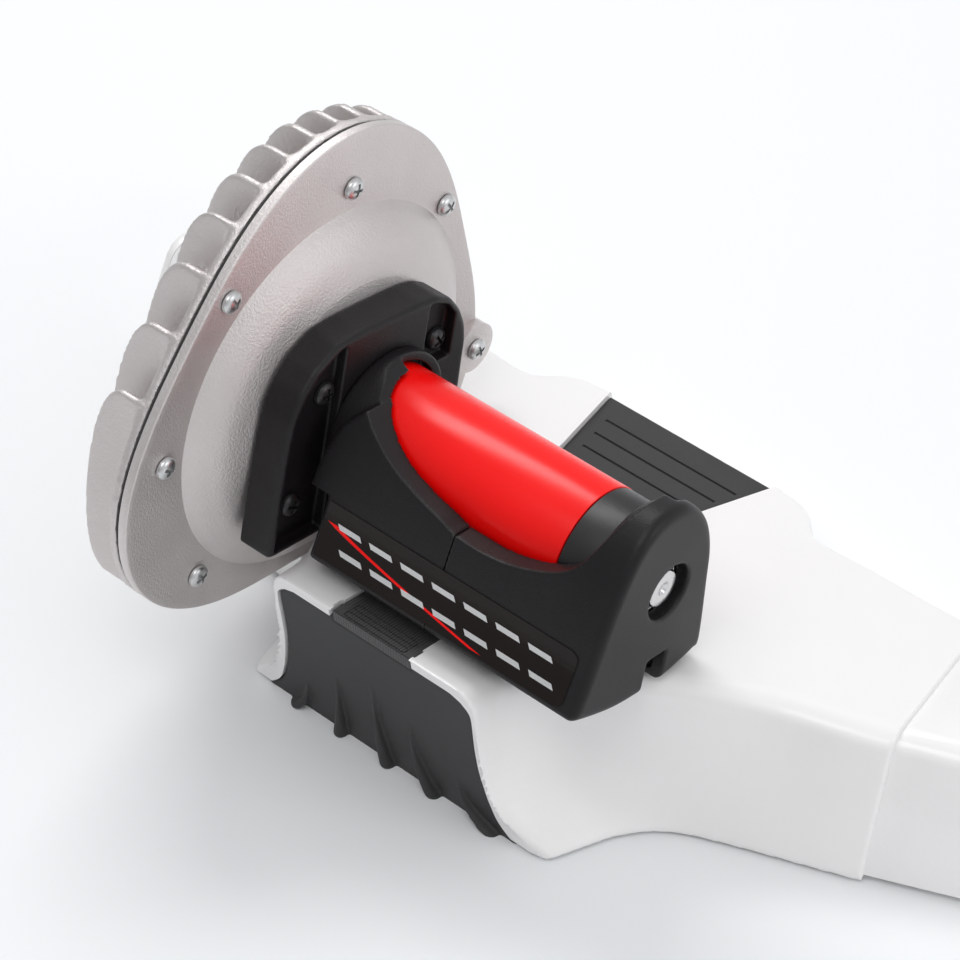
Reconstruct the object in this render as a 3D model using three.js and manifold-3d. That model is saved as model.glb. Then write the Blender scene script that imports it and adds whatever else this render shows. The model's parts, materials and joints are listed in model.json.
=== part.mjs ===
// Roller resistance unit of a bicycle turbo trainer, on the moulded base that carries it.
// Millimetres. X runs along the roller towards its end cap, Y towards the bicycle, Z up.
// The unit and the deck under it lean forward together, so their pieces are drawn in an
// upright unit frame on the roller axis, and one group leans that frame over.
import * as THREE from 'three';
import { mergeVertices } from 'three/addons/utils/BufferGeometryUtils.js';
import Module from 'manifold-3d';

const wasm = await Module();
wasm.setup();

// Driving sizes of the whole
const axleHeight = 101.6;
const unitLean = THREE.MathUtils.degToRad(13.1);
const deckDepth = 41.3;
const touchGap = 0.3;
const runGap = 0.3;
const floorGap = 1.5;

// Roller, its hub ring and its shaft
const rollerRadius = 22.5;
const sleeveWall = 3;
const sleeveStart = -43;
const sleeveEnd = 49.5;
const edgeChamfer = 0.8;
const coreWall = 3;
const coreStart = -42.6;
const coreEnd = 61.2;
const coreHubRadius = 11;
const coreHubInset = 2.5;
const coreWebStart = 3;
const coreWebEnd = 9;
const hubRingInset = 0.2;
const hubRingEnd = 65.2;
const hubRingWeb = 3.4;
const hubRingBore = 12;
const shaftRadius = 6;
const shaftEnd = 74.1;
const shaftSpigotRadius = 5;
const shaftSpigotStart = -94.4;
const shaftShoulder = -77;
const shaftTapRadius = 2.8;
const shaftTapDepth = 12;
const axleBoltHeadRadius = 7;
const axleBoltHead = 3;
const axleBoltDimple = 1.2;
const axleBoltShankRadius = 2.5;
const axleBoltShank = 10;

// Bearings and shaft seal
const bearingOuterRadius = 14;
const bearingSplitRadius = 9.2;
const bearingWidth = 8;
const capBearingStart = 66;
const flangeBearingStart = -71;
const bearingFit = 0.3;
const sealWidth = 3.6;
const sealLipRadius = 6.3;

// Cover over the roller, in two halves
const coverSeam = 16;
const seamGap = 0.3;
const coverStart = -44.5;
const coverEnd = 79.7;
const coverWall = 3;
const coverEndWall = 4.9;
const coverEdgeRound = 3.5;
const coverFoot = [
  [-41, 10.3], [-41.8, 5.9], [-38.6, 4.1], [-19.5, 1.5], [-4, 0.5], [8.3, 0.7], [17.6, 2.3],
  [25.6, 4.5], [28.6, 7.7],
];
const coverBack = [
  [24.5, -6], [22, 8], [17, 20], [9, 29], [0, 34], [-12, 34], [-21, 28], [-28, 15], [-33.5, -3],
  [-37, -18],
];
const collarInner = 24;
const collarOuter = 27.3;
const collarEnd = -40;
const collarReach = -30;
const collarRim = [[-38.4, 26], [-35.6, 24.4], [-33, 22], [-31, 19.6]];
const shoulderProfile = [[24.4, 62.2], [25.4, 63.4], [27, 67], [29, 71.5], [31.6, 74], [34, 75.2]];
const shoulderReach = 36;
const shoulderEnd = 76;
const bearingBlockRadius = 17.6;
const pocketWallTop = -12;
const capHoleRadius = 10.3;
const capSlot = { left: -3.6, right: 7, rise: 14.3 };
const frontWallTop = -8;
const rimCurve = [
  [-26.8, 17.2], [-19.4, 12.5], [-11.2, 8.6], [-0.9, 5.3], [8.8, 3], [15.9, 1.1], [26.7, 0.7],
  [38.6, 2.2], [51.2, 6.3], [59.3, 11.2], [63.7, 18], [67.5, 27.5], [70.5, 34.6],
];
const hoodEdge = [[-42.7, -10.6], [-41.2, 2.4], [-37.7, 13.3], [-31.4, 21]];
const hoodNotch = { reach: -34.5, top: -10.6, inner: -12 };
const bracketWindow = { start: -60, end: 64, half: 20, rise: 11.3 };

// Plate that carries the cover and bolts to the brake
const plateFront = -44.8;
const plateBack = -58.5;
const plateBevel = 2.4;
const plateFootLift = 3.8;
const plateRight = 44.2;
const plateLeft = -49;
const plateCrown = [
  [44.2, -5], [43.8, 3.5], [43.4, 14.8], [41.6, 22], [37.6, 29], [31.5, 35.6], [24, 39], [14.5, 40.2],
  [0, 40.6], [-15, 40.8], [-27, 39.6], [-37, 33.4], [-42.9, 25.9], [-46.5, 17.5], [-47.8, 5.7],
  [-48.6, -10.4],
];
const recessDepth = 4.5;
const recessRim = 2.2;
const recessLeftEnd = -22.8;
const recessCorner = { left: 19.5, right: 34.6, low: 11.5 };
const recessFoot = { left: 28.5, high: -14.5 };
const plateScrews = [[-27.4, 19.6], [-37.6, -21.3], [29.9, 18.4], [37, -23]];
const plateBore = 8;

// Brake body: front flange, gasket and finned housing
const flangeRadius = 86.9;
const flangeLobe = 8.3;
const flangeLobeCount = 3;
const flangeLobeAngle = THREE.MathUtils.degToRad(88);
const flangeShift = 5.5;
const flangeShiftAngle = THREE.MathUtils.degToRad(134);
const flangeFront = -70.1;
const flangeThickness = 3.6;
const gasketThickness = 0.6;
const dishProfile = [[69.3, 0], [65, 3.6], [58, 7.6], [50, 10.1], [46, 11.2]];
const dishWall = 4;
const flangeHubRadius = 19;
const flangeHubBack = -75.8;
const flangeHubBore = 7;
const finReach = 26;
const finPitch = 11.8;
const finThickness = 3;
const finCountLeft = 7;
const finCountRight = 6;
const finRoundShare = 3.7;
const drumRadius = 68;
const drumReach = 21;
const drumRound = 6;
const chamberRadius = 63;
const chamberWall = 3.6;
const screwCircle = 78;
const screwInset = 7;
const screwSteps = 8;
const screwTurns = [1, 2, 3, 4, 5, 7];
const screwBossRadius = 4.6;
const screwBossReach = 9;
const lug = { y: 81, z: -16, radius: 10, front: -66.6 };

// Impeller in the brake fluid
const impellerRadius = 58;
const impellerHubRadius = 12;
const impellerStart = -89;
const impellerEnd = -77.4;
const impellerDisc = 4;
const vaneCount = 12;
const vaneThickness = 3;
const nutWidth = 15;
const nutHeight = 4.2;

// Screws
const panHead = {
  radius: 4.1, height: 2.7, shank: 2, cross: 1.1, crossReach: 2.3, crossDepth: 1.5,
};
const blackHead = {
  radius: 4.3, height: 2.9, shank: 2.1, cross: 1.2, crossReach: 2.6, crossDepth: 1.6,
};
const flangeShank = 13;
const plateShank = 13.4;
const lugShank = 16;
const screwClearance = 0.3;

// Moulded base
const baseWall = 3.5;
const seamReach = 151.97;
const seamSkewShare = 0.1959;
const seamRakeShare = 0.061;
const rearTop = -56.3;
const rearFoot = -48.5;
const shoulderRound = 8;
const frontRound = 2;
const rearTopLine = [
  [45, -48.3], [45.3, -42], [46, -34], [48.2, -26], [53, -17], [62, -7.5], [75, 4], [91.5, 16.5],
  [112.6, 31], [133.4, 39.8], [148, 46.4],
];
const rearFootLine = [
  [64, -48.5], [69.7, -47.2], [72.6, -42.4], [75.4, -36.4], [80.2, -26.4], [85.6, -18.9],
  [92.2, -12.7], [101.5, -7.2], [120.2, 0.4], [140.5, 8], [155.4, 13.7],
];
const leftFootLine = [
  [-62.5, -48.5], [-64.5, -44], [-65.5, -37], [-67, -30], [-71, -21.5], [-77.5, -14.5], [-86, -10],
];
const bowShares = [5.5, 5, 4.4, 3.8, 3, 2.2, 1.6, 1.2, 1, 1, 1];
const frontDraft = 8;
const frontTopLine = [
  [134.9, 120.5], [115.9, 119.7], [89, 119.3], [76, 118.4], [68.5, 118.3], [64.6, 119.6],
  [61.8, 122.1], [57.6, 127.2], [54.4, 130.1], [49.2, 132.4], [38.9, 133.9],
];
const sideShares = [0.4, 0.74, 1];
const hollowShares = [0.64, 1];
const ribPitch = 42;
const ribThickness = 2.4;
const ribSpan = 150;
const ribLift = 3;
const ribSideCount = 3;
const ribFrontCount = 3;
const rearBacking = 11;
const scoopClearance = 5;
const scoopStart = -55;
const scoopEnd = -117;

// Rubber on the base
const rubberReach = [59, 50, 46.6, 45, 43.2, 42.5, 42.5, 41.4, 38.4, 34.5, 17.6];
const rubberShares = [-0.035, 0.109, 0.236, 0.33, 0.486, 0.663, 0.875, 0.94, 0.984, 1, 1];
const rubberTopGap = 4.8;
const rubberThickness = 6.5;
const rubberRecess = 0.6;
const gripFeet = [-42, -21, 0, 21, 42];
const gripTips = [-36.4, -20.7, -3.4, 12.7, 32.9];
const gripShares = [0.22, 0.457, 0.589, 0.471, 0.236];
const gripRise = 4.2;
const gripHalfWidth = 2.4;
const gripTipWidth = 0.5;
const gripTipRise = 0.4;
const strip = {
  halfWidth: 17, front: -22, thickness: 3, lip: 6.3, lipThickness: 2.4,
  slotHalf: 13.6, slotWidth: 1.2, slotDepth: 1,
};
const stripSlots = [3, 7.8];
const pad = {
  rear: 42, front: 133.5, frontHalf: 38.2, drop: 2.7, thickness: 1.9,
  grooveWidth: 1.3, grooveDepth: 0.9, grooveFirst: 60, groovePitch: 10, grooveInset: 5,
};
const padTaperShare = 0.236;
const padGrooveCount = 7;
const padTrayWall = 3;
const foot = {
  x: 96, y: 96, radius: 12, postRadius: 14.5, height: 6, stem: 6, stemHeight: 12, round: 1.2,
};

// Frame tubes that plug into the base
const tubeInset = 1.8;
const tubeWall = 2.5;
const tubeEngagement = 18;
const tubeReach = 205;
const tubeSlopeShare = 0.42;
const plugThickness = 4;
const plugSkirt = 9;

// Bracket between the deck and the unit
const bracket = {
  start: -44.2, end: 58, halfWidth: 15, thickness: 3, uprightHeight: 13.5, uprightHalf: 18, lift: 0.3,
};
const bracketBolts = [[-26, -9], [-26, 9], [48, -9], [48, 9]];
const boltHead = { radius: 5, height: 4 };
const boltShankRadius = 3;
const boltShank = 14;
const boltBossRadius = 7.5;

// Shares, counts and facets
const fineFacets = 30;
const roundFacets = 18;
const footFacets = 12;
const smallFacets = 8;
const hexFacets = 6;
const outlineFacets = 50;
const scoopFacets = 24;
const finPoints = 8;
const roundSteps = 3;
const hollowSteps = 1;
const bevelSteps = 2;
const weldShare = 1e-4;
const half = 0.5;
const domeShare = 0.62;
const gripBendShare = 0.55;
const gripWaistShare = 0.8;
const gripBulgeShare = 0.62;
const quarterTurn = Math.PI * half;
const fullTurn = Math.PI * 2;

// A closed geometry with shared corners and no empty triangles.
function tidy(geometry) {
  const bare = new THREE.BufferGeometry();
  bare.setAttribute('position', geometry.getAttribute('position').clone());
  bare.setIndex(geometry.index ? geometry.index.clone() : null);
  const merged = mergeVertices(bare, weldShare);
  const corners = merged.index.array;
  const kept = [];
  for (let i = 0; i < corners.length; i += 3) {
    const [a, b, c] = [corners[i], corners[i + 1], corners[i + 2]];
    if (a !== b && b !== c && c !== a) kept.push(a, b, c);
  }
  merged.setIndex(kept);
  return merged;
}

// The same body as a solid for cutting and joining, turned inside out where it needs to be.
function solid(geometry) {
  const body = tidy(geometry);
  const vertProperties = new Float32Array(body.getAttribute('position').array);
  const corners = Array.from(body.index.array);
  const build = (triVerts) => new wasm.Manifold(new wasm.Mesh({ numProp: 3, vertProperties, triVerts }));
  const outward = build(new Uint32Array(corners));
  if (outward.volume() > 0) return outward;
  return build(new Uint32Array(corners.reverse()));
}

function geometryOf(body) {
  const mesh = body.getMesh();
  const geometry = new THREE.BufferGeometry();
  geometry.setAttribute('position', new THREE.BufferAttribute(new Float32Array(mesh.vertProperties), 3));
  geometry.setIndex(new THREE.BufferAttribute(new Uint32Array(mesh.triVerts), 1));
  return geometry;
}

function joined(geometries) {
  return geometries.map(solid).reduce((whole, piece) => whole.add(piece));
}

function cut(body, geometries) {
  return geometries.map(solid).reduce((whole, piece) => whole.subtract(piece), body);
}

// Even steps from 0 to 1.
function stepsOf(count) {
  return Array.from({ length: count + 1 }, (_, i) => i / count);
}

// A body of revolution about X from [radius, x] pairs.
function turned(profile, facets = roundFacets) {
  const points = [...profile, profile[0]].map(([radius, x]) => new THREE.Vector2(radius, x));
  return new THREE.LatheGeometry(points, facets).rotateZ(-quarterTurn);
}

function ring(inner, outer, start, end, facets = roundFacets) {
  return turned([[inner, start], [outer, start], [outer, end], [inner, end]], facets);
}

function disc(radius, start, end, facets = roundFacets) {
  return ring(0, radius, start, end, facets);
}

// A counter-clockwise outline with each of its edges moved outwards by a distance.
function grown(outline, distance) {
  const count = outline.length;
  const outward = (from, to) => new THREE.Vector2(to[1] - from[1], from[0] - to[0]).normalize();
  return outline.map((corner, i) => {
    const before = outward(outline[(i + count - 1) % count], corner);
    const after = outward(corner, outline[(i + 1) % count]);
    const reach = distance / (1 + before.dot(after));
    return [corner[0] + (before.x + after.x) * reach, corner[1] + (before.y + after.y) * reach];
  });
}

// A box between two corners.
function block(low, high) {
  const size = high.map((value, i) => value - low[i]);
  const centre = high.map((value, i) => (value + low[i]) * half);
  return new THREE.BoxGeometry(...size).translate(...centre);
}

// A prism of a [y, z] outline between two places on X.
function prismX(outline, start, end) {
  const shape = new THREE.Shape(outline.map(([y, z]) => new THREE.Vector2(y, z)));
  const prism = new THREE.ExtrudeGeometry(shape, { depth: end - start, bevelEnabled: false });
  return prism.applyMatrix4(axesX()).translate(start, 0, 0);
}

// Turns an outline drawn in x and y, and its depth in z, into y, z and x.
function axesX() {
  return new THREE.Matrix4().makeBasis(
    new THREE.Vector3(0, 1, 0), new THREE.Vector3(0, 0, 1), new THREE.Vector3(1, 0, 0));
}

// A prism of an [x, z] outline between two places on Y.
function prismY(outline, start, end) {
  const shape = new THREE.Shape(outline.map(([x, z]) => new THREE.Vector2(x, z)));
  const prism = new THREE.ExtrudeGeometry(shape, { depth: end - start, bevelEnabled: false });
  return prism.rotateX(quarterTurn).translate(0, end, 0);
}

// A prism of an [x, y] outline between two heights.
function prismZ(outline, low, high) {
  const shape = new THREE.Shape(outline.map(([x, y]) => new THREE.Vector2(x, y)));
  return new THREE.ExtrudeGeometry(shape, { depth: high - low, bevelEnabled: false }).translate(0, 0, low);
}

// A round or many-sided post on the Z axis between two heights.
function pillar(radius, low, high, facets = roundFacets) {
  const post = new THREE.CylinderGeometry(radius, radius, high - low, facets).rotateX(quarterTurn);
  return post.translate(0, 0, (high + low) * half);
}

// A body through a row of rings of points, closed by a flat face at each end.
function loft(rings) {
  const count = rings[0].length;
  const positions = rings.flat().flatMap((point) => point.toArray());
  const corners = [];
  for (let row = 0; row < rings.length - 1; row += 1) {
    for (let i = 0; i < count; i += 1) {
      const next = (i + 1) % count;
      const [a, b] = [row * count + i, row * count + next];
      const [c, d] = [a + count, b + count];
      corners.push(a, b, c, b, d, c);
    }
  }
  corners.push(...lid(rings[0], 0, false));
  corners.push(...lid(rings.at(-1), (rings.length - 1) * count, true));
  const geometry = new THREE.BufferGeometry();
  geometry.setAttribute('position', new THREE.Float32BufferAttribute(positions, 3));
  geometry.setIndex(corners);
  return geometry;
}

// The triangles of one flat end, drawn in the plane that shows the ring best.
function lid(points, first, over) {
  const normal = new THREE.Vector3();
  points.forEach((point, i) => {
    const next = points[(i + 1) % points.length];
    normal.add(point.clone().cross(next));
  });
  const flat = flattener(normal);
  const faces = THREE.ShapeUtils.triangulateShape(points.map(flat), []);
  return faces.flatMap(([a, b, c]) => (over ? [a, b, c] : [a, c, b]).map((corner) => corner + first));
}

function flattener(normal) {
  const size = [Math.abs(normal.x), Math.abs(normal.y), Math.abs(normal.z)];
  const main = size.indexOf(Math.max(...size));
  const side = Math.sign(normal.getComponent(main));
  const [u, v] = [(main + 1) % 3, (main + 2) % 3];
  return (point) => new THREE.Vector2(point.getComponent(u), point.getComponent(v) * side);
}

// A unit-frame geometry as it lies in the upright frame of the base.
function leaned(geometry) {
  return geometry.rotateX(-unitLean);
}

function uprightY(y, z) {
  return y * Math.cos(unitLean) + z * Math.sin(unitLean);
}

// Screws stand along X with the underside of the head at x = 0 and the shank towards -X.
function crossScrew(head, shankLength) {
  const shoulder = head.height * half;
  const body = joined([turned([
    [0, -shankLength], [head.shank, -shankLength], [head.shank, 0], [head.radius, 0],
    [head.radius, shoulder], [head.radius * domeShare, head.height], [0, head.height],
  ], smallFacets)]);
  const bottom = head.height - head.crossDepth;
  const over = head.height + head.crossDepth;
  const [wide, narrow] = [head.crossReach, head.cross * half];
  const arms = [
    block([bottom, -wide, -narrow], [over, wide, narrow]),
    block([bottom, -narrow, -wide], [over, narrow, wide]),
  ];
  return geometryOf(cut(body, arms));
}

// Roller body
function rollerSleeve() {
  const inner = rollerRadius - sleeveWall;
  return turned([
    [inner, sleeveStart], [rollerRadius - edgeChamfer, sleeveStart],
    [rollerRadius, sleeveStart + edgeChamfer],
    [rollerRadius, sleeveEnd - touchGap], [inner, sleeveEnd - touchGap],
  ], fineFacets);
}

function rollerCore() {
  const outer = rollerRadius - sleeveWall - touchGap;
  const inner = outer - coreWall;
  const bore = shaftRadius + touchGap;
  const hubStart = coreStart + coreHubInset;
  const hubEnd = coreEnd - coreHubInset;
  return turned([
    [bore, hubStart], [coreHubRadius, hubStart], [coreHubRadius, coreWebStart], [inner, coreWebStart],
    [inner, coreStart], [outer, coreStart], [outer, coreEnd], [inner, coreEnd],
    [inner, coreWebEnd], [coreHubRadius, coreWebEnd], [coreHubRadius, hubEnd], [bore, hubEnd],
  ]);
}

function rollerHubRing() {
  const outer = rollerRadius - hubRingInset;
  const inner = rollerRadius - sleeveWall;
  const webStart = hubRingEnd - hubRingWeb;
  return turned([
    [inner, sleeveEnd], [outer, sleeveEnd], [outer, hubRingEnd - edgeChamfer],
    [outer - edgeChamfer, hubRingEnd], [hubRingBore, hubRingEnd], [hubRingBore, webStart], [inner, webStart],
  ], fineFacets);
}

function rollerShaft() {
  const tapStart = shaftEnd - shaftTapDepth;
  return turned([
    [0, shaftSpigotStart], [shaftSpigotRadius, shaftSpigotStart], [shaftSpigotRadius, shaftShoulder],
    [shaftRadius, shaftShoulder], [shaftRadius, shaftEnd], [shaftTapRadius, shaftEnd],
    [shaftTapRadius, tapStart], [0, tapStart],
  ]);
}

function axleEndBolt() {
  const start = shaftEnd + touchGap;
  const face = start + axleBoltHead;
  return turned([
    [0, start - axleBoltShank], [axleBoltShankRadius, start - axleBoltShank], [axleBoltShankRadius, start],
    [axleBoltHeadRadius, start], [axleBoltHeadRadius, face - axleBoltDimple * half],
    [axleBoltHeadRadius - axleBoltDimple * half, face], [axleBoltShankRadius, face],
    [axleBoltDimple, face - axleBoltDimple], [0, face - axleBoltDimple],
  ]);
}

// Bearings, drawn from their own left face at x = 0.
function bearingOuter() {
  return ring(bearingSplitRadius + runGap, bearingOuterRadius, 0, bearingWidth);
}

function bearingInner() {
  return ring(shaftRadius + touchGap, bearingSplitRadius, 0, bearingWidth);
}

function shaftSeal() {
  return turned([
    [sealLipRadius, -sealWidth], [bearingOuterRadius, -sealWidth], [bearingOuterRadius, 0],
    [sealLipRadius + sealWidth, 0], [sealLipRadius + sealWidth, -sealWidth * half],
  ]);
}

// Cover: the outer form with its end edge rounded, the hollow inside and the opening over the roller.
function insetSection(wall) {
  const foot = coverFoot.map(([y, lift]) => [y, lift - deckDepth]);
  return grown([...foot, ...coverBack], -wall);
}

function sectionRing(x, wall) {
  return insetSection(wall).map(([y, z]) => new THREE.Vector3(x, y, z));
}

function coverOuter() {
  const rings = [sectionRing(coverStart, 0)];
  stepsOf(roundSteps).forEach((step) => {
    const angle = quarterTurn * step;
    const x = coverEnd - coverEdgeRound * (1 - Math.sin(angle));
    rings.push(sectionRing(x, coverEdgeRound * (1 - Math.cos(angle))));
  });
  return solid(loft(rings));
}

// The air over the roller, seen from the rear: all that lies above the hood edge and the rim curve.
function rearOpening() {
  const far = shoulderReach + coverEnd;
  const outline = [[-far, hoodEdge[0][1]], ...hoodEdge, ...rimCurve, [shoulderEnd, far], [-far, far]];
  return prismY(outline, -far, touchGap);
}

function frontOpening() {
  const far = shoulderReach + coverEnd;
  return block([-far, 0, frontWallTop], [shoulderEnd, far, far]);
}

// The flared mouth that stays standing at the cap side of the opening.
function shoulderCone() {
  const start = shoulderProfile[0];
  return turned([[0, start[1]], ...shoulderProfile, [shoulderReach, coverEnd], [0, coverEnd]], fineFacets);
}

function coverShell() {
  const opening = joined([rearOpening(), frontOpening()]).subtract(solid(shoulderCone()));
  const far = shoulderReach + coverEnd;
  const notch = block([-far, -far, -far], [hoodNotch.reach, hoodNotch.inner, hoodNotch.top]);
  return coverOuter().subtract(opening).subtract(solid(notch));
}

// The collar round the roller on the plate side, its free edge following the rim curve.
function coverCollar() {
  const far = shoulderReach + coverEnd;
  const body = solid(ring(collarInner, collarOuter, coverStart, collarReach, fineFacets));
  const outline = [
    [collarEnd, collarOuter], ...collarRim, [far, collarRim.at(-1)[1]], [far, far], [collarEnd, far],
  ];
  return cut(body, [prismY(outline, -far, touchGap), block([collarEnd, 0, -far], [far, far, far])]);
}

function coverHollow() {
  const low = prismX(insetSection(coverWall), coverStart - coverWall, coverEnd - coverEndWall);
  const far = deckDepth + coverEnd;
  const underside = block([-far, -far, -far], [far, far, pocketWallTop]);
  const hollow = solid(low).intersect(solid(underside));
  return hollow.subtract(solid(disc(bearingBlockRadius, capBearingStart - touchGap, coverEnd)));
}

function wholeCover() {
  const hollowed = coverShell().add(coverCollar()).subtract(coverHollow());
  const bearingEnd = capBearingStart + bearingWidth + touchGap;
  const far = deckDepth + coverEnd;
  const window = bracketWindow;
  return cut(hollowed, [
    disc(collarInner, coverStart - coverWall, capBearingStart - touchGap, fineFacets),
    disc(bearingOuterRadius + bearingFit, capBearingStart - runGap - touchGap, bearingEnd),
    disc(capHoleRadius, capBearingStart, far),
    block(
      [coverEnd - coverEndWall - runGap, capSlot.left, -far],
      [far, capSlot.right, capSlot.rise - deckDepth]),
    block([window.start, -window.half, -far], [window.end, window.half, window.rise - deckDepth]),
  ]);
}

function coverHalf(start, end) {
  const far = deckDepth + coverEnd;
  return geometryOf(wholeCover().intersect(solid(block([start, -far, -far], [end, far, far]))));
}

// Mounting plate: it is recessed round its screws, with a thin rim left along its edge.
function plateOutline() {
  const foot = plateFootLift - deckDepth;
  return [[plateRight, foot], ...plateCrown, [plateLeft, foot]];
}

function plateRecesses() {
  const floor = plateFront - recessDepth;
  const far = deckDepth + flangeRadius;
  const inside = solid(prismX(grown(plateOutline(), -recessRim), floor, 0));
  const areas = joined([
    block([floor, -far, -far], [0, recessLeftEnd, far]),
    block([floor, recessCorner.left, recessCorner.low], [0, recessCorner.right, far]),
    block([floor, recessFoot.left, -far], [0, far, recessFoot.high]),
  ]);
  return inside.intersect(areas);
}

function plateBody() {
  const shape = new THREE.Shape(plateOutline().map(([y, z]) => new THREE.Vector2(y, z)));
  const depth = plateFront - plateBack - plateBevel;
  const body = new THREE.ExtrudeGeometry(shape, {
    depth, bevelEnabled: true, bevelSize: plateBevel, bevelOffset: -plateBevel,
    bevelThickness: plateBevel, bevelSegments: bevelSteps,
  });
  return body.applyMatrix4(axesX()).translate(plateBack, 0, 0);
}

function mountingPlate() {
  const far = deckDepth + flangeRadius;
  const body = cut(solid(plateBody()), [
    block([-far, -far, -far], [plateBack, far, far]),
    disc(plateBore, -far, 0),
    ...plateHoles(-far, 0),
  ]);
  return geometryOf(body.subtract(plateRecesses()));
}

function plateHoles(start, end) {
  return plateScrews.map(([y, z]) => (
    disc(blackHead.shank + screwClearance, start, end, smallFacets).translate(0, y, z)));
}

// Brake body: a rim of three lobes, a little off the roller axis.
function flangeEdge(angle) {
  const lobes = flangeLobe * Math.cos(flangeLobeCount * (angle - flangeLobeAngle));
  return flangeRadius + lobes + flangeShift * Math.cos(angle - flangeShiftAngle);
}

function flangeOutline(offset, facets = outlineFacets) {
  return Array.from({ length: facets }, (_, i) => {
    const angle = fullTurn * i / facets;
    const radius = flangeEdge(angle) + offset;
    return [radius * Math.cos(angle), radius * Math.sin(angle)];
  });
}

// The screws stand at eighths of a turn; the lug has the first, the narrow foot of the rim none.
function screwPlaces() {
  return screwTurns.map((turn) => {
    const angle = fullTurn * turn / screwSteps;
    const radius = Math.min(screwCircle, flangeEdge(angle) - screwInset);
    return { y: radius * Math.cos(angle), z: radius * Math.sin(angle) };
  });
}

function postsAtScrews(radius, start, end) {
  return [...screwPlaces(), lug].map(({ y, z }) => disc(radius, start, end, smallFacets).translate(0, y, z));
}

function screwHoles(start, end) {
  return postsAtScrews(panHead.shank + screwClearance, start, end);
}

// The dish of the flange, [radius, x] from its rim to its flat middle.
function dishLine(inset) {
  return dishProfile.map(([radius, rise]) => [radius - inset, flangeFront + rise - inset]);
}

function brakeFlange() {
  const far = deckDepth + flangeRadius;
  const back = flangeFront - flangeThickness;
  const front = dishLine(0);
  const faceX = front.at(-1)[1];
  const dome = turned([[0, back], [front[0][0], back], ...front, [0, faceX]], fineFacets);
  const under = dishLine(dishWall);
  const hollow = turned([[0, -far], [under[0][0], -far], ...under, [0, under.at(-1)[1]]]);
  const plate = prismX(flangeOutline(0), back, flangeFront);
  const hub = disc(flangeHubRadius, flangeHubBack, faceX);
  const shell = cut(joined([plate, dome]), [hollow]).add(joined([hub, lugBody()]));
  const bearingEnd = flangeBearingStart + bearingWidth + touchGap;
  return geometryOf(cut(shell, [
    ...screwHoles(-far, 0),
    ...plateHoles(-far, 0),
    disc(bearingOuterRadius + bearingFit, -far, bearingEnd),
    disc(flangeHubBore, -far, 0),
  ]));
}

function lugBody() {
  const back = flangeFront - flangeThickness;
  return disc(lug.radius, back, lug.front, roundFacets).translate(0, lug.y, lug.z);
}

function brakeGasket() {
  const front = flangeFront - flangeThickness - touchGap;
  const plate = solid(prismX(flangeOutline(-touchGap), front - gasketThickness, front));
  const far = front - flangeRadius;
  return geometryOf(cut(plate, [disc(chamberRadius, far, 0), ...screwHoles(far, 0)]));
}

function housingFront() {
  return flangeFront - flangeThickness - touchGap - gasketThickness - touchGap;
}

// One cooling fin, its back edge following the rounded form of the whole housing.
function fin(y) {
  const back = housingFront() - flangeThickness;
  const edge = Array.from({ length: finPoints + 1 }, (_, i) => {
    const spread = -Math.cos(Math.PI * i / finPoints);
    const z = finTip(y, Math.sign(spread) || 1) * spread;
    const share = Math.min(1, Math.hypot(y, z) / flangeEdge(Math.atan2(z, y)));
    return [back - finReach * (1 - share ** finRoundShare) ** (1 / finRoundShare), z];
  });
  const front = back + flangeThickness * half;
  const outline = [[front, edge[0][1]], ...edge, [front, edge.at(-1)[1]]];
  return prismY(outline, y - finThickness * half, y + finThickness * half);
}

// How far up or down the fin at y reaches before it meets the flange edge.
function finTip(y, side) {
  let reach = flangeRadius + flangeLobe + flangeShift;
  while (Math.hypot(y, reach) > flangeEdge(Math.atan2(side * reach, y)) - touchGap) reach -= touchGap;
  return reach;
}

function finHousing() {
  const front = housingFront();
  const back = front - flangeThickness;
  const drumBack = back - drumReach;
  const plate = prismX(flangeOutline(0), back, front);
  const drum = turned([
    [0, front], [drumRadius, front], [drumRadius, drumBack + drumRound],
    [drumRadius - drumRound, drumBack], [0, drumBack],
  ], fineFacets);
  const fins = [];
  for (let i = -finCountLeft; i <= finCountRight; i += 1) fins.push(fin(i * finPitch));
  const bosses = postsAtScrews(screwBossRadius, back - screwBossReach, front);
  const inside = solid(prismX(flangeOutline(0), back - finReach, front));
  const body = joined([plate, drum, ...fins, ...bosses]).intersect(inside);
  return geometryOf(cut(body, [
    disc(chamberRadius, drumBack + chamberWall, 0, fineFacets),
    ...screwHoles(back - screwBossReach + gasketThickness, 0),
  ]));
}

function impeller() {
  const middle = (impellerStart + impellerEnd) * half;
  const hub = disc(impellerHubRadius, impellerStart, impellerEnd);
  const plate = disc(impellerRadius, middle - impellerDisc * half, middle + impellerDisc * half);
  const vanes = [];
  for (let i = 0; i < vaneCount; i += 1) {
    const vane = block(
      [impellerStart + edgeChamfer, impellerHubRadius * half, -vaneThickness * half],
      [impellerEnd - edgeChamfer, impellerRadius - vaneThickness, vaneThickness * half]);
    vanes.push(vane.rotateX(fullTurn * i / vaneCount));
  }
  const body = joined([hub, plate, ...vanes]);
  return geometryOf(cut(body, [disc(shaftSpigotRadius + touchGap, impellerStart - runGap, 0)]));
}

function impellerNut() {
  const radius = nutWidth * half / Math.cos(Math.PI / hexFacets);
  const end = impellerStart - touchGap;
  const start = end - nutHeight;
  const body = solid(disc(radius, start, end, hexFacets));
  return geometryOf(cut(body, [disc(shaftSpigotRadius + touchGap, start - runGap, 0)]));
}

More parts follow.
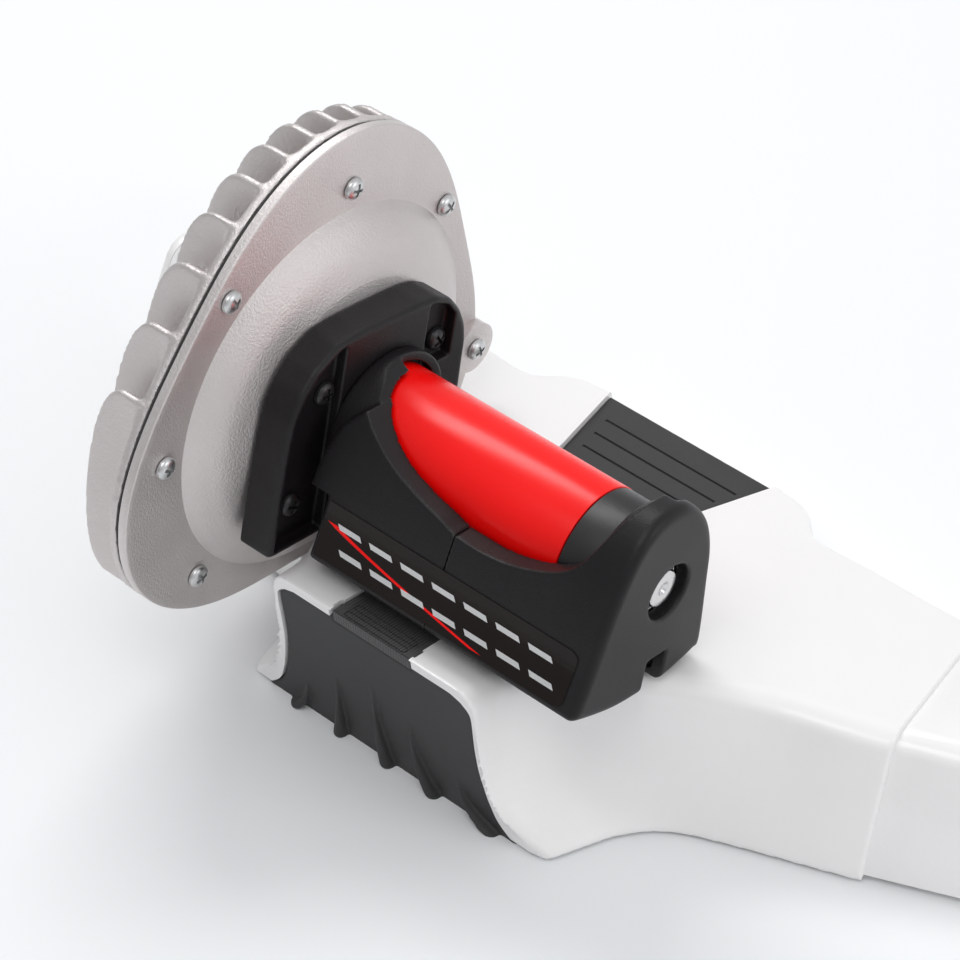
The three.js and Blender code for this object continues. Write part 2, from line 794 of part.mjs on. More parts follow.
// Bracket and its bolts
function unitBracket() {
  const { start, end, halfWidth, thickness, uprightHeight, uprightHalf, lift } = bracket;
  const low = lift - deckDepth;
  const base = block([start, -halfWidth, low], [end, halfWidth, low + thickness]);
  const upright = block([start, -uprightHalf, low], [start + thickness, uprightHalf, low + uprightHeight]);
  const holes = bracketBolts.map(([x, y]) => (
    pillar(boltShankRadius + touchGap, low - thickness, 0, smallFacets).translate(x, y, 0)));
  return geometryOf(cut(joined([base, upright]), holes));
}

// A hexagon bolt standing on the bracket, its shank down through the deck.
function bracketBolt() {
  return geometryOf(joined([
    pillar(boltShankRadius, -boltShank, boltHead.height * half, smallFacets),
    pillar(boltHead.radius, 0, boltHead.height, hexFacets),
  ]));
}

// Base: the height of the deck and of its lower edge at each place.
function deckHeight(y) {
  return -(deckDepth + y * Math.sin(unitLean)) / Math.cos(unitLean);
}

const footHeight = -axleHeight + floorGap;

// The rear end of the base is a plane from the deck's rear edge down to the floor.
function rearPlane(z) {
  const top = deckHeight(rearTop);
  return rearTop + (rearFoot - rearTop) * (top - z) / (top + axleHeight);
}

function rearSlope() {
  return Math.hypot(rearFoot - rearTop, deckHeight(rearTop) + axleHeight);
}

function rubberHeight() {
  return rearSlope() - rubberTopGap;
}

// Where the deck ends at the rear, in the unit frame.
function deckRear() {
  return rearTop * Math.cos(unitLean) - deckHeight(rearTop) * Math.sin(unitLean);
}

function seamPlane(y, z) {
  return seamReach - seamSkewShare * y - seamRakeShare * z;
}

function deckPoint(x, y) {
  return new THREE.Vector2(x, uprightY(y, -deckDepth));
}

// Every place where the side wall of the base turns, from the rear round to the front.
function baseStations(side) {
  const last = rearTopLine.length - 1;
  const rear = rearTopLine.map(([x, y], i) => {
    const [footX, footY] = rearFootLine[i];
    const lowest = (side < 0 && leftFootLine[i]) || [footX * side, footY];
    const end = (i === 0 && 'rear') || (i === last && 'seam');
    const top = deckPoint(x * side, y);
    return { top, base: new THREE.Vector2(...lowest), bow: bowShares[i], end, round: shoulderRound };
  });
  const front = frontTopLine.map(([x, y], i) => {
    const top = deckPoint(x * side, y);
    const base = new THREE.Vector2(top.x, top.y + frontDraft);
    return { top, base, bow: 1, end: i === 0 && 'seam', round: frontRound };
  });
  const chain = [...rear, ...front];
  chain.forEach((station, i) => {
    station.side = side;
    station.out = outwardAt(chain, i, side);
  });
  return chain;
}

// The plan direction that points out of the side wall at one station.
function outwardAt(chain, i, side) {
  const here = chain[i];
  if (here.end === 'rear') return new THREE.Vector2(side, 0);
  if (here.end === 'seam') {
    const sign = i < rearTopLine.length ? -1 : 1;
    const along = new THREE.Vector2(-seamSkewShare, 1).normalize();
    return new THREE.Vector2(along.x * side * sign, along.y * sign);
  }
  const before = chain[i - 1].top;
  const after = (chain[i + 1] || { top: new THREE.Vector2(0, here.top.y) }).top;
  const run = after.clone().sub(before).normalize();
  return new THREE.Vector2(run.y * side, -run.x * side);
}

function stationPoint(station, share, form) {
  const blend = share ** station.bow;
  const place = station.top.clone().lerp(station.base, blend);
  place.addScaledVector(station.out, -form.inset * station.round - form.wall);
  const top = deckHeight(place.y) - form.wall;
  const z = top + (form.low - top) * share;
  if (station.end === 'rear') place.y = rearPlane(z);
  if (station.end === 'seam') place.x = station.side * seamPlane(place.y, z);
  return new THREE.Vector3(place.x, place.y, z);
}

function baseRing(share, form) {
  const right = baseStations(1).map((station) => stationPoint(station, share, form));
  const left = baseStations(-1).map((station) => stationPoint(station, share, form)).reverse();
  return [...right, ...left];
}

// The rounded shoulder of the wall as rows of an inset and a share of the wall's height.
function shoulderRows(steps) {
  const fall = axleHeight + deckHeight(0);
  return stepsOf(steps).map((step) => {
    const angle = quarterTurn * step;
    return { inset: 1 - Math.sin(angle), share: shoulderRound * (1 - Math.cos(angle)) / fall };
  });
}

function baseLoft(wall, low, steps, shares) {
  const rows = [...shoulderRows(steps), ...shares.map((share) => ({ inset: 0, share }))];
  return solid(loft(rows.map(({ inset, share }) => baseRing(share, { wall, inset, low }))));
}

// The air that the brake needs, following its outline.
function scoop(clearance) {
  const outline = flangeOutline(clearance, scoopFacets);
  return leaned(prismX(outline, scoopEnd - clearance, scoopStart + clearance));
}

function padHalf(y) {
  return pad.frontHalf - padTaperShare * (pad.front - y);
}

function padOutline(grow, longer) {
  const [rear, front] = [pad.rear - grow, pad.front + longer];
  const [rearHalf, frontHalf] = [padHalf(rear) + grow, padHalf(front) + grow];
  return [[-rearHalf, rear], [rearHalf, rear], [frontHalf, front], [-frontHalf, front]];
}

function padPocket(grow, deeper) {
  const depth = pad.drop + pad.thickness + touchGap + deeper;
  const outline = padOutline(grow, shoulderRound);
  return leaned(prismZ(outline, -deckDepth - depth, -deckDepth * half));
}

function stripPocket(grow, deeper) {
  const depth = strip.thickness + touchGap + deeper;
  return leaned(block(
    [-strip.halfWidth - grow, deckRear() - shoulderRound, -deckDepth - depth],
    [strip.halfWidth + grow, strip.front + grow, -deckDepth * half]));
}

// The rear end plane as a frame: x across, z up along the plane, -y out of the base.
function onRearPlane(geometry) {
  const tilt = Math.atan2(rearFoot - rearTop, deckHeight(rearTop) + axleHeight);
  return geometry.rotateX(tilt).translate(0, rearFoot, -axleHeight);
}

// The rubber's outline on that plane, notched at its top for the lip of the tread strip.
function rubberOutline() {
  const face = rubberReach.map((x, i) => [x, rubberShares[i] * rubberHeight()]);
  face.push([rubberReach.at(-1), rearSlope() - strip.lip - runGap - touchGap]);
  const left = face.map(([x, z]) => [-x, z]).reverse();
  return [...face, ...left];
}

function rubberPocket() {
  const outline = grown(rubberOutline(), touchGap);
  const notch = outline.length * half;
  outline[notch - 1][1] += rubberThickness;
  outline[notch][1] += rubberThickness;
  return onRearPlane(prismY(outline, -shoulderRound, rubberThickness + touchGap));
}

function footPosts(radius, low, high) {
  return [-1, 1].map((side) => pillar(radius, low, high, footFacets).translate(foot.x * side, foot.y, 0));
}

function baseRibs() {
  const low = footHeight + ribLift;
  const ribs = [];
  for (let i = -ribSideCount; i <= ribSideCount; i += 1) {
    const x = i * ribPitch;
    ribs.push(block([x - ribThickness * half, -ribSpan, low], [x + ribThickness * half, ribSpan, 0]));
  }
  for (let i = 0; i < ribFrontCount; i += 1) {
    const y = i * ribPitch;
    ribs.push(block([-ribSpan, y - ribThickness * half, low], [ribSpan, y + ribThickness * half, 0]));
  }
  return ribs;
}

function bracketBosses(radius, depth) {
  return bracketBolts.map(([x, y]) => (
    leaned(pillar(radius, -depth, 0, smallFacets).translate(x, y, baseWall - deckDepth))));
}

// The solid end of each arm, which holds the tube socket.
function seamBacking(side) {
  const inner = (y) => side * (seamPlane(y, -axleHeight * half) - tubeEngagement - baseWall);
  const far = side * tubeReach;
  const outline = [[inner(-ribSpan), -ribSpan], [far, -ribSpan], [far, ribSpan], [inner(ribSpan), ribSpan]];
  return prismZ(outline, -axleHeight, 0);
}

function baseShell() {
  const outer = cut(baseLoft(0, footHeight, roundSteps, sideShares), [scoop(scoopClearance)]);
  const hollow = cut(baseLoft(baseWall, footHeight - baseWall, hollowSteps, hollowShares), [
    scoop(scoopClearance + baseWall),
    onRearPlane(block([-tubeReach, -rearBacking, -axleHeight], [tubeReach, rearBacking, axleHeight])),
    ...[-1, 1].map(seamBacking),
    padPocket(padTrayWall, padTrayWall),
    stripPocket(padTrayWall, padTrayWall),
    ...footPosts(foot.postRadius, -axleHeight, 0),
    ...baseRibs(),
    ...bracketBosses(boltBossRadius, boltShank + baseWall + baseWall),
  ]);
  const sockets = [-1, 1].map((side) => tubeBody(side, tubeInset - touchGap, tubeEngagement + touchGap));
  return geometryOf(cut(outer.subtract(hollow), [
    padPocket(touchGap, 0),
    stripPocket(touchGap, 0),
    rubberPocket(),
    ...footPosts(foot.stem + touchGap, footHeight - baseWall, foot.stemHeight + touchGap - axleHeight),
    ...footPosts(foot.radius + touchGap, footHeight - baseWall, foot.height - axleHeight),
    ...bracketBosses(boltShankRadius + touchGap, boltShank + baseWall),
    ...sockets,
  ]));
}

// Frame tubes: the section of the arm at its seam, a little smaller, carried outwards.
function tubeSection(side, inset) {
  const chain = baseStations(side);
  const rear = chain[rearTopLine.length - 1];
  const front = chain[rearTopLine.length];
  const rows = [...shoulderRows(roundSteps), { inset: 0, share: 1 }];
  const walk = (station, list) => list.map((row) => (
    stationPoint(station, row.share, { wall: inset, inset: row.inset, low: footHeight + inset })));
  return [...walk(rear, [...rows].reverse()), ...walk(front, rows)];
}

function shifted(point, side, distance) {
  return point.clone().add(new THREE.Vector3(side * distance, distance * tubeSlopeShare, 0));
}

// The section carried from inside the arm out to the tube's end.
function tubeBody(side, inset, engagement) {
  const section = tubeSection(side, inset);
  return loft([
    section.map((point) => shifted(point, side, -engagement)),
    section.map((point) => shifted(point, side, tubeReach - Math.abs(point.x))),
  ]);
}

// The same section between two distances from the tube's outer end.
function tubeEnd(side, inset, start, end) {
  const section = tubeSection(side, inset);
  return loft([start, end].map((distance) => (
    section.map((point) => shifted(point, side, tubeReach - Math.abs(point.x) + distance)))));
}

function frameTube(side) {
  const bore = tubeBody(side, tubeInset + tubeWall, tubeEngagement + plugSkirt);
  const mouth = tubeEnd(side, tubeInset + tubeWall, -plugSkirt, plugThickness);
  return geometryOf(cut(solid(tubeBody(side, tubeInset, tubeEngagement)), [bore, mouth]));
}

function tubePlug(side) {
  const cap = tubeEnd(side, tubeInset, touchGap, plugThickness);
  const skirt = tubeEnd(side, tubeInset + tubeWall + touchGap, -plugSkirt, plugThickness * half);
  return geometryOf(joined([cap, skirt]));
}

// Rubber pieces
function rearRubberFoot() {
  const body = prismY(rubberOutline(), rubberRecess, rubberThickness);
  const whole = joined([body, ...gripFeet.map((_, i) => gripRib(i))]);
  const aboveFloor = block([-tubeReach, -tubeReach, -axleHeight], [tubeReach, tubeReach, 0]);
  return geometryOf(solid(onRearPlane(geometryOf(whole))).intersect(solid(aboveFloor)));
}

// One grip rib: a bent wedge that grows from its tip down to the floor edge.
function gripRib(i) {
  const [x, top] = [gripFeet[i], gripTips[i]];
  const height = gripShares[i] * rubberHeight();
  const y = rubberRecess + gripRise * half;
  const slice = (centre, z, width, rise) => [
    new THREE.Vector3(centre - width, y, z), new THREE.Vector3(centre + width, y, z),
    new THREE.Vector3(centre, rubberRecess - rise, z),
  ];
  const bend = top + (x - top) * gripBendShare;
  return loft([
    slice(x, 0, gripHalfWidth, gripRise),
    slice(bend, height * half, gripHalfWidth * gripWaistShare, gripRise * gripBulgeShare),
    slice(top, height, gripTipWidth, gripTipRise),
  ]);
}

// Tread strip with two slots and a lip down over the rear edge of the deck.
function treadStrip() {
  const { halfWidth, front, thickness, lip, lipThickness, slotHalf, slotWidth, slotDepth } = strip;
  const rear = deckRear() + touchGap;
  const body = joined([
    block([-halfWidth, rear, -thickness], [halfWidth, front, 0]),
    block([-halfWidth, rear, -lip], [halfWidth, rear + lipThickness, 0]),
  ]);
  return geometryOf(cut(body, stripSlots.map((place) => block(
    [-slotHalf, rear + place - slotWidth * half, -slotDepth],
    [slotHalf, rear + place + slotWidth * half, slotDepth]))));
}

function deckPad() {
  const grooves = Array.from({ length: padGrooveCount }, (_, i) => {
    const y = pad.grooveFirst + i * pad.groovePitch;
    const [reach, narrow] = [padHalf(y) - pad.grooveInset, pad.grooveWidth * half];
    return block([-reach, y - narrow, -pad.grooveDepth], [reach, y + narrow, pad.thickness]);
  });
  return geometryOf(cut(solid(prismZ(padOutline(0, 0), -pad.thickness, 0)), grooves));
}

// A round foot about Z, standing on z = 0 with its stem up.
function frontFoot() {
  const points = [
    [0, 0], [foot.radius - foot.round, 0], [foot.radius, foot.round],
    [foot.radius, foot.height - touchGap], [foot.stem, foot.height - touchGap],
    [foot.stem, foot.stemHeight], [0, foot.stemHeight],
  ].map(([radius, z]) => new THREE.Vector2(radius, z));
  return new THREE.LatheGeometry(points, footFacets).rotateX(quarterTurn);
}

// Materials
const finish = (color, roughness, metalness) => () => (
  new THREE.MeshStandardMaterial({ color, roughness, metalness }));
const castAluminium = finish(0xc4bbb6, 0.5, 0.9);
const machinedAluminium = finish(0xb4b4b6, 0.35, 1);
const brightSteel = finish(0xd0d0d0, 0.25, 1);
const zincSteel = finish(0xc2c4c8, 0.3, 1);
const blackSteel = finish(0x1a1a1c, 0.35, 0.6);
const blackPlastic = finish(0x232326, 0.6, 0);
const satinPlastic = finish(0x2a2a2d, 0.35, 0);
const redSleeve = finish(0xd00404, 0.2, 0);
const whitePlastic = finish(0xf0f0f0, 0.25, 0);
const whitePaint = finish(0xeeeeee, 0.25, 0.1);
const darkRubber = finish(0x35363a, 0.8, 0);
const gasketFibre = finish(0x202020, 0.8, 0);

const model = new THREE.Group();
const unit = new THREE.Group();
unit.rotation.x = -unitLean;
model.add(unit);

function place(group, name, geometry, material, position = [0, 0, 0]) {
  const body = tidy(geometry);
  body.computeVertexNormals();
  const mesh = new THREE.Mesh(body, material());
  mesh.name = name;
  mesh.position.set(...position);
  group.add(mesh);
}

// Base
place(model, 'base_shell', baseShell(), whitePlastic);
place(model, 'rear_rubber_foot', rearRubberFoot(), darkRubber);
[['left', -1], ['right', 1]].forEach(([name, side]) => {
  place(model, `front_foot_${name}`, frontFoot(), darkRubber, [foot.x * side, foot.y, -axleHeight]);
  place(model, `frame_tube_${name}`, frameTube(side), whitePaint);
  place(model, `tube_plug_${name}`, tubePlug(side), blackPlastic);
});
place(unit, 'tread_strip', treadStrip(), darkRubber, [0, 0, -deckDepth]);
place(unit, 'deck_pad', deckPad(), darkRubber, [0, 0, -deckDepth - pad.drop]);

// Bracket
place(unit, 'unit_bracket', unitBracket(), zincSteel);
bracketBolts.forEach(([x, y], i) => {
  const z = -deckDepth + bracket.lift + bracket.thickness + touchGap;
  place(unit, `bracket_bolt_${i + 1}`, bracketBolt(), zincSteel, [x, y, z]);
});

// Cover and mounting plate
place(unit, 'cover_plate_side', coverHalf(coverStart - seamGap, coverSeam - seamGap * half), blackPlastic);
place(unit, 'cover_cap_side', coverHalf(coverSeam + seamGap * half, coverEnd + seamGap), blackPlastic);
place(unit, 'mounting_plate', mountingPlate(), blackPlastic);
plateScrews.forEach(([y, z], i) => {
  const x = plateFront - recessDepth + touchGap;
  place(unit, `plate_screw_${i + 1}`, crossScrew(blackHead, plateShank), blackSteel, [x, y, z]);
});

// Roller and shaft
place(unit, 'roller_sleeve', rollerSleeve(), redSleeve);
place(unit, 'roller_core', rollerCore(), machinedAluminium);
place(unit, 'roller_hub_ring', rollerHubRing(), satinPlastic);
place(unit, 'roller_shaft', rollerShaft(), brightSteel);
place(unit, 'axle_end_bolt', axleEndBolt(), brightSteel);
[['cap', capBearingStart], ['flange', flangeBearingStart]].forEach(([name, start]) => {
  place(unit, `${name}_bearing_outer`, bearingOuter(), brightSteel, [start, 0, 0]);
  place(unit, `${name}_bearing_inner`, bearingInner(), brightSteel, [start, 0, 0]);
});
place(unit, 'shaft_seal', shaftSeal(), darkRubber, [flangeBearingStart - touchGap, 0, 0]);

// Brake
place(unit, 'brake_flange', brakeFlange(), castAluminium);
place(unit, 'brake_gasket', brakeGasket(), gasketFibre);
place(unit, 'fin_housing', finHousing(), castAluminium);
place(unit, 'impeller', impeller(), machinedAluminium);
place(unit, 'impeller_nut', impellerNut(), zincSteel);
screwPlaces().forEach(({ y, z }, i) => {
  const x = flangeFront + touchGap;
  place(unit, `flange_screw_${i + 1}`, crossScrew(panHead, flangeShank), zincSteel, [x, y, z]);
});
place(unit, 'lug_screw', crossScrew(panHead, lugShank), zincSteel, [lug.front + touchGap, lug.y, lug.z]);

// The origin goes to the middle of the whole at floor level.
model.updateMatrixWorld(true);
const bounds = new THREE.Box3().setFromObject(model, true);
const centre = bounds.getCenter(new THREE.Vector3());
model.position.set(-centre.x, -centre.y, -bounds.min.z);

export default model;
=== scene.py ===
# %% [markdown]
# # A roller resistance unit for a bicycle trainer
# The rear wheel of a bicycle presses on the red roller, and a finned brake on the left turns
# the rider's effort into heat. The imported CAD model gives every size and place. This lesson
# dresses it: rounder forms, real finishes, soft light and a camera.

import json
import math

import bmesh
import bpy
from mathutils import Matrix, Vector


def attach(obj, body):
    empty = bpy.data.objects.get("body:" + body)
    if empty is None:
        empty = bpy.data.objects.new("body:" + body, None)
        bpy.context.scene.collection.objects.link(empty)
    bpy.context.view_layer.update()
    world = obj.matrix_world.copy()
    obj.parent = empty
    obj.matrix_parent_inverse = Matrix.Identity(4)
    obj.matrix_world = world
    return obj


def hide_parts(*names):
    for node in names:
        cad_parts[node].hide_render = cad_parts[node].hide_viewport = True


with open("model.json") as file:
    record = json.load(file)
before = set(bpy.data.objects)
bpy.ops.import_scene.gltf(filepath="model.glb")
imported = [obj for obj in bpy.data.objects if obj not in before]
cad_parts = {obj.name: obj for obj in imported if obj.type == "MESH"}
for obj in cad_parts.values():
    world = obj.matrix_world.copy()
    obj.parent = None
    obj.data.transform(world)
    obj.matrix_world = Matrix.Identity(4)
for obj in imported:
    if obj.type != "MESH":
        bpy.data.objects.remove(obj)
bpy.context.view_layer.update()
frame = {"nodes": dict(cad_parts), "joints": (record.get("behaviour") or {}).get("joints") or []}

# %% [markdown]
# ## Two frames of reference
# The base stands upright on the floor, while the unit on its deck leans forward. Every shape
# is drawn in millimetres about the roller's axis, upright or leaning, and one matrix then
# seats it in the scene, which is in metres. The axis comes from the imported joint, so the
# pieces follow the model if it ever shifts.

# %% Frames of reference
MILLIMETRE = 0.001
LEAN = math.radians(13.1)
AXLE = Vector(frame["joints"][0]["pos_m"])
UPRIGHT = Matrix.Translation(AXLE) @ Matrix.Scale(MILLIMETRE, 4)
LEANING = UPRIGHT @ Matrix.Rotation(-LEAN, 4, "X")
print("roller axis at", tuple(AXLE))

# %% [markdown]
# ## The camera
# The photograph looks down at 45 degrees from the side of the rubber foot, through a long lens
# that keeps parallel edges nearly parallel. The camera is placed from the roller's axis and
# turned by its own three directions, so it can be checked against the drawing.

# %% Camera
VIEW_AZIMUTH = math.radians(40.43)
VIEW_ELEVATION = math.radians(45.02)
VIEW_OFFSET = Vector((0.4910, -0.5763, 0.7570))
LENS = 121.1

back = Vector((
    math.sin(VIEW_AZIMUTH) * math.cos(VIEW_ELEVATION),
    -math.cos(VIEW_AZIMUTH) * math.cos(VIEW_ELEVATION),
    math.sin(VIEW_ELEVATION),
))
right = Vector((math.cos(VIEW_AZIMUTH), math.sin(VIEW_AZIMUTH), 0.0))
up = back.cross(right)
camera = bpy.data.objects.new("camera", bpy.data.cameras.new("camera"))
camera.data.lens = LENS
camera.matrix_world = Matrix((
    (right.x, up.x, back.x, AXLE.x + VIEW_OFFSET.x),
    (right.y, up.y, back.y, AXLE.y + VIEW_OFFSET.y),
    (right.z, up.z, back.z, AXLE.z + VIEW_OFFSET.z),
    (0, 0, 0, 1),
))
bpy.context.scene.collection.objects.link(camera)
bpy.context.scene.camera = camera
bpy.context.scene.view_settings.view_transform = "Standard"
print("camera at", tuple(round(value, 4) for value in camera.location))

# %% [markdown]
# ## Tools for making shapes
# Each real piece is turned, extruded, moulded or cast, so the helpers follow those ways of
# making. A lathe spins a profile, a prism pushes an outline through, a loft skins a row of
# rings. A moulded or cast piece is first built sharp from these, cut with Boolean modifiers,
# then remeshed and softened, which gives every edge the small radius a mould gives it.

# %% Meshes from points
MERGE_DISTANCE = 0.0005


def new_piece(name, points, faces):
    mesh = bpy.data.meshes.new(name)
    mesh.from_pydata([tuple(point) for point in points], [], faces)
    work = bmesh.new()
    work.from_mesh(mesh)
    bmesh.ops.remove_doubles(work, verts=work.verts, dist=MERGE_DISTANCE)
    bmesh.ops.dissolve_degenerate(work, edges=work.edges, dist=MERGE_DISTANCE)
    bmesh.ops.recalc_face_normals(work, faces=work.faces)
    if work.calc_volume(signed=True) < 0:
        bmesh.ops.reverse_faces(work, faces=work.faces)
    work.to_mesh(mesh)
    work.free()
    piece = bpy.data.objects.new(name, mesh)
    bpy.context.scene.collection.objects.link(piece)
    return piece


def settle(piece):
    """Applies the modifiers of a piece to its mesh."""
    graph = bpy.context.evaluated_depsgraph_get()
    mesh = bpy.data.meshes.new_from_object(piece.evaluated_get(graph))
    piece.modifiers.clear()
    piece.data = mesh
    return piece


def loft(name, rings, closed=False):
    """Skins a row of rings of points; a closed row joins its last ring to its first."""
    count = len(rings[0])
    faces = []
    rows = len(rings) if closed else len(rings) - 1
    for row in range(rows):
        after = (row + 1) % len(rings)
        for i in range(count):
            j = (i + 1) % count
            faces.append((row * count + i, row * count + j, after * count + j, after * count + i))
    if not closed:
        last = (len(rings) - 1) * count
        faces.append(tuple(reversed(range(count))))
        faces.append(tuple(range(last, last + count)))
    return new_piece(name, [point for ring in rings for point in ring], faces)


def lathe(name, profile, steps=96):
    """Turns a closed profile of (radius, x) pairs about the roller's axis."""
    rings = []
    for step in range(steps):
        angle = math.tau * step / steps
        rings.append([(x, r * math.cos(angle), r * math.sin(angle)) for r, x in profile])
    return loft(name, rings, closed=True)


def prism(name, outline, start, end, axis):
    """Pushes an outline along X, Y or Z; it holds (y, z), (x, z) or (x, y) pairs."""
    place = {
        "X": lambda a, b, c: (c, a, b),
        "Y": lambda a, b, c: (a, c, b),
        "Z": lambda a, b, c: (a, b, c),
    }[axis]
    return loft(name, [[place(a, b, reach) for a, b in outline] for reach in (start, end)])


def box(name, low, high):
    outline = [(low[0], low[1]), (high[0], low[1]), (high[0], high[1]), (low[0], high[1])]
    return prism(name, outline, low[2], high[2], "Z")


def tube(name, inner, outer, start, end, steps=96):
    return lathe(name, [(inner, start), (outer, start), (outer, end), (inner, end)], steps)


def circle(radius, steps):
    turns = [math.tau * step / steps for step in range(steps)]
    return [(radius * math.cos(turn), radius * math.sin(turn)) for turn in turns]


def rod(name, radius, start, end, y=0.0, z=0.0, steps=48):
    """A round bar along the roller's axis."""
    return prism(name, [(a + y, b + z) for a, b in circle(radius, steps)], start, end, "X")


def post(name, radius, low, high, x, y, steps=48):
    """A round bar that stands up."""
    return prism(name, [(x + a, y + b) for a, b in circle(radius, steps)], low, high, "Z")


def moved(piece, matrix):
    piece.data.transform(matrix)
    return piece


print("shape tools ready")

# %% [markdown]
# Smooth outlines come from a few measured points. A Catmull-Rom curve passes through each of
# them, which is what is wanted when the points are measured on the real piece. Rounded edges
# are walked in equal steps of a quarter turn, and sharp corners of an outline get small arcs.

# %% Curves through points
CORNER_SHARE = 0.45


def smooth(points, steps=6, closed=False):
    count = len(points)
    spans = count if closed else count - 1
    made = []
    for i in range(spans):
        if closed:
            p0, p1, p2, p3 = (Vector(points[(i + k - 1) % count]) for k in range(4))
        else:
            p1, p2 = Vector(points[i]), Vector(points[i + 1])
            p0 = Vector(points[i - 1]) if i > 0 else p1 * 2 - p2
            p3 = Vector(points[i + 2]) if i + 2 < count else p2 * 2 - p1
        for step in range(steps):
            t = step / steps
            made.append(tuple(
                (p1 * 2 + (p2 - p0) * t + (p0 * 2 - p1 * 5 + p2 * 4 - p3) * t ** 2
                 + (p1 * 3 - p0 - p2 * 3 + p3) * t ** 3) / 2
            ))
    if not closed:
        made.append(tuple(points[-1]))
    return made


def quarter_turn(steps):
    return [math.pi / 2 * step / steps for step in range(steps + 1)]


def filleted(outline, radius, steps=5):
    """The same outline with a small arc at each corner."""
    made = []
    for i, corner in enumerate(outline):
        here = Vector(corner)
        to_before = Vector(outline[i - 1]) - here
        to_after = Vector(outline[(i + 1) % len(outline)]) - here
        reach = min(radius, to_before.length * CORNER_SHARE, to_after.length * CORNER_SHARE)
        start = here + to_before.normalized() * reach
        end = here + to_after.normalized() * reach
        for step in range(steps + 1):
            t = step / steps
            made.append(tuple(start * (1 - t) ** 2 + here * 2 * t * (1 - t) + end * t ** 2))
    return made


print("curve tools ready")

# %% [markdown]
# Boolean modifiers join and cut. The remesh then skins the result with even small faces, and
# a few smoothing passes turn its sharp edges into moulded ones.

# %% Cutting, moulding and seating
SOFTENING = 0.5


def combine(piece, others, operation):
    for other in others:
        change = piece.modifiers.new("change", "BOOLEAN")
        change.object = other
        change.operation = operation
        change.solver = "EXACT"
        settle(piece)
        bpy.data.objects.remove(other)
    return piece


def cut(piece, *others):
    return combine(piece, others, "DIFFERENCE")


def join(piece, *others):
    return combine(piece, others, "UNION")


def mould(piece, voxel, passes):
    skin = piece.modifiers.new("skin", "REMESH")
    skin.mode = "VOXEL"
    skin.voxel_size = voxel
    soften = piece.modifiers.new("soften", "SMOOTH")
    soften.factor = SOFTENING
    soften.iterations = passes
    return settle(piece)


def lay_over(piece, others):
    """Puts several closed skins in one mesh; a voxel remesh then makes them one body."""
    work = bmesh.new()
    for each in (piece, *others):
        work.from_mesh(each.data)
    work.to_mesh(piece.data)
    work.free()
    for other in others:
        bpy.data.objects.remove(other)
    return piece


def seat(piece, place, body, slot, *nodes, look=None, crease=30.0):
    """Moves a shape into the scene, hangs it on the body it rides on, hides the imported nodes that it
    replaces, and paints it.

    It takes the slot's own finish or another look. Edges that bend by more than the crease
    angle, in degrees, stay crisp under the smooth shading."""
    piece.data.transform(place)
    for polygon in piece.data.polygons:
        polygon.use_smooth = True
    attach(piece, body)
    if nodes:
        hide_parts(*nodes)
    piece.data.materials.clear()
    piece.data.materials.append(look or FINISHES[slot])
    if crease:
        piece.data.set_sharp_from_angle(angle=math.radians(crease))
    print(piece.name, "has", len(piece.data.polygons), "faces")
    return piece


print("moulding tools ready")

# %% [markdown]
# ## Shared surface effects
# Several finishes need the same effects: the grain of a casting or a mould, soft cloudy
# variation, and edges that have worn. Each effect is a node group built once, with named
# inputs, that puts out masks and heights for the finishes to use.

# %% A builder for node groups
def new_group(name, inputs, outputs):
    group = bpy.data.node_groups.new(name, "ShaderNodeTree")
    for title, value in inputs.items():
        entry = group.interface.new_socket(name=title, in_out="INPUT", socket_type="NodeSocketFloat")
        entry.default_value = value
    for title in outputs:
        group.interface.new_socket(name=title, in_out="OUTPUT", socket_type="NodeSocketFloat")
    return group, group.nodes.new("NodeGroupInput"), group.nodes.new("NodeGroupOutput")


def add(tree, kind, **settings):
    """Adds a node; settings that name an input socket fill it, others set the node itself."""
    node = tree.nodes.new(kind)
    for title, value in settings.items():
        if title in node.bl_rna.properties:
            setattr(node, title, value)
        else:
            node.inputs[title.replace("_", " ")].default_value = value
    return node


def link(tree, source, target):
    tree.links.new(source, target)


print("node tools ready")

# %% [markdown]
# Grain is a fine noise in millimetre scale, read from the object's own coordinates so that
# it keeps one size on every piece. A coarser cloud goes with it for gentle colour variation.

# %% Grain and cloud
grain_group, grain_in, grain_out = new_group(
    "grain_and_cloud", {"Grains per metre": 900.0, "Clouds per metre": 20.0}, ["Grain", "Cloud"])
place = add(grain_group, "ShaderNodeTexCoord")
for title, rate, detail in (("Grain", "Grains per metre", 3.0), ("Cloud", "Clouds per metre", 5.0)):
    noise = add(grain_group, "ShaderNodeTexNoise", Detail=detail, Roughness=0.6)
    link(grain_group, place.outputs["Object"], noise.inputs["Vector"])
    link(grain_group, grain_in.outputs[rate], noise.inputs["Scale"])
    spread = add(grain_group, "ShaderNodeMapRange", From_Min=0.3, From_Max=0.7)
    link(grain_group, noise.outputs["Fac"], spread.inputs["Value"])
    link(grain_group, spread.outputs["Result"], grain_out.inputs[title])
print("grain_and_cloud group made")

# %% [markdown]
# Moulded black plastic has a spark-eroded texture: small pits side by side. Cells of a
# Voronoi texture give the pits, and a noise breaks up their regularity.

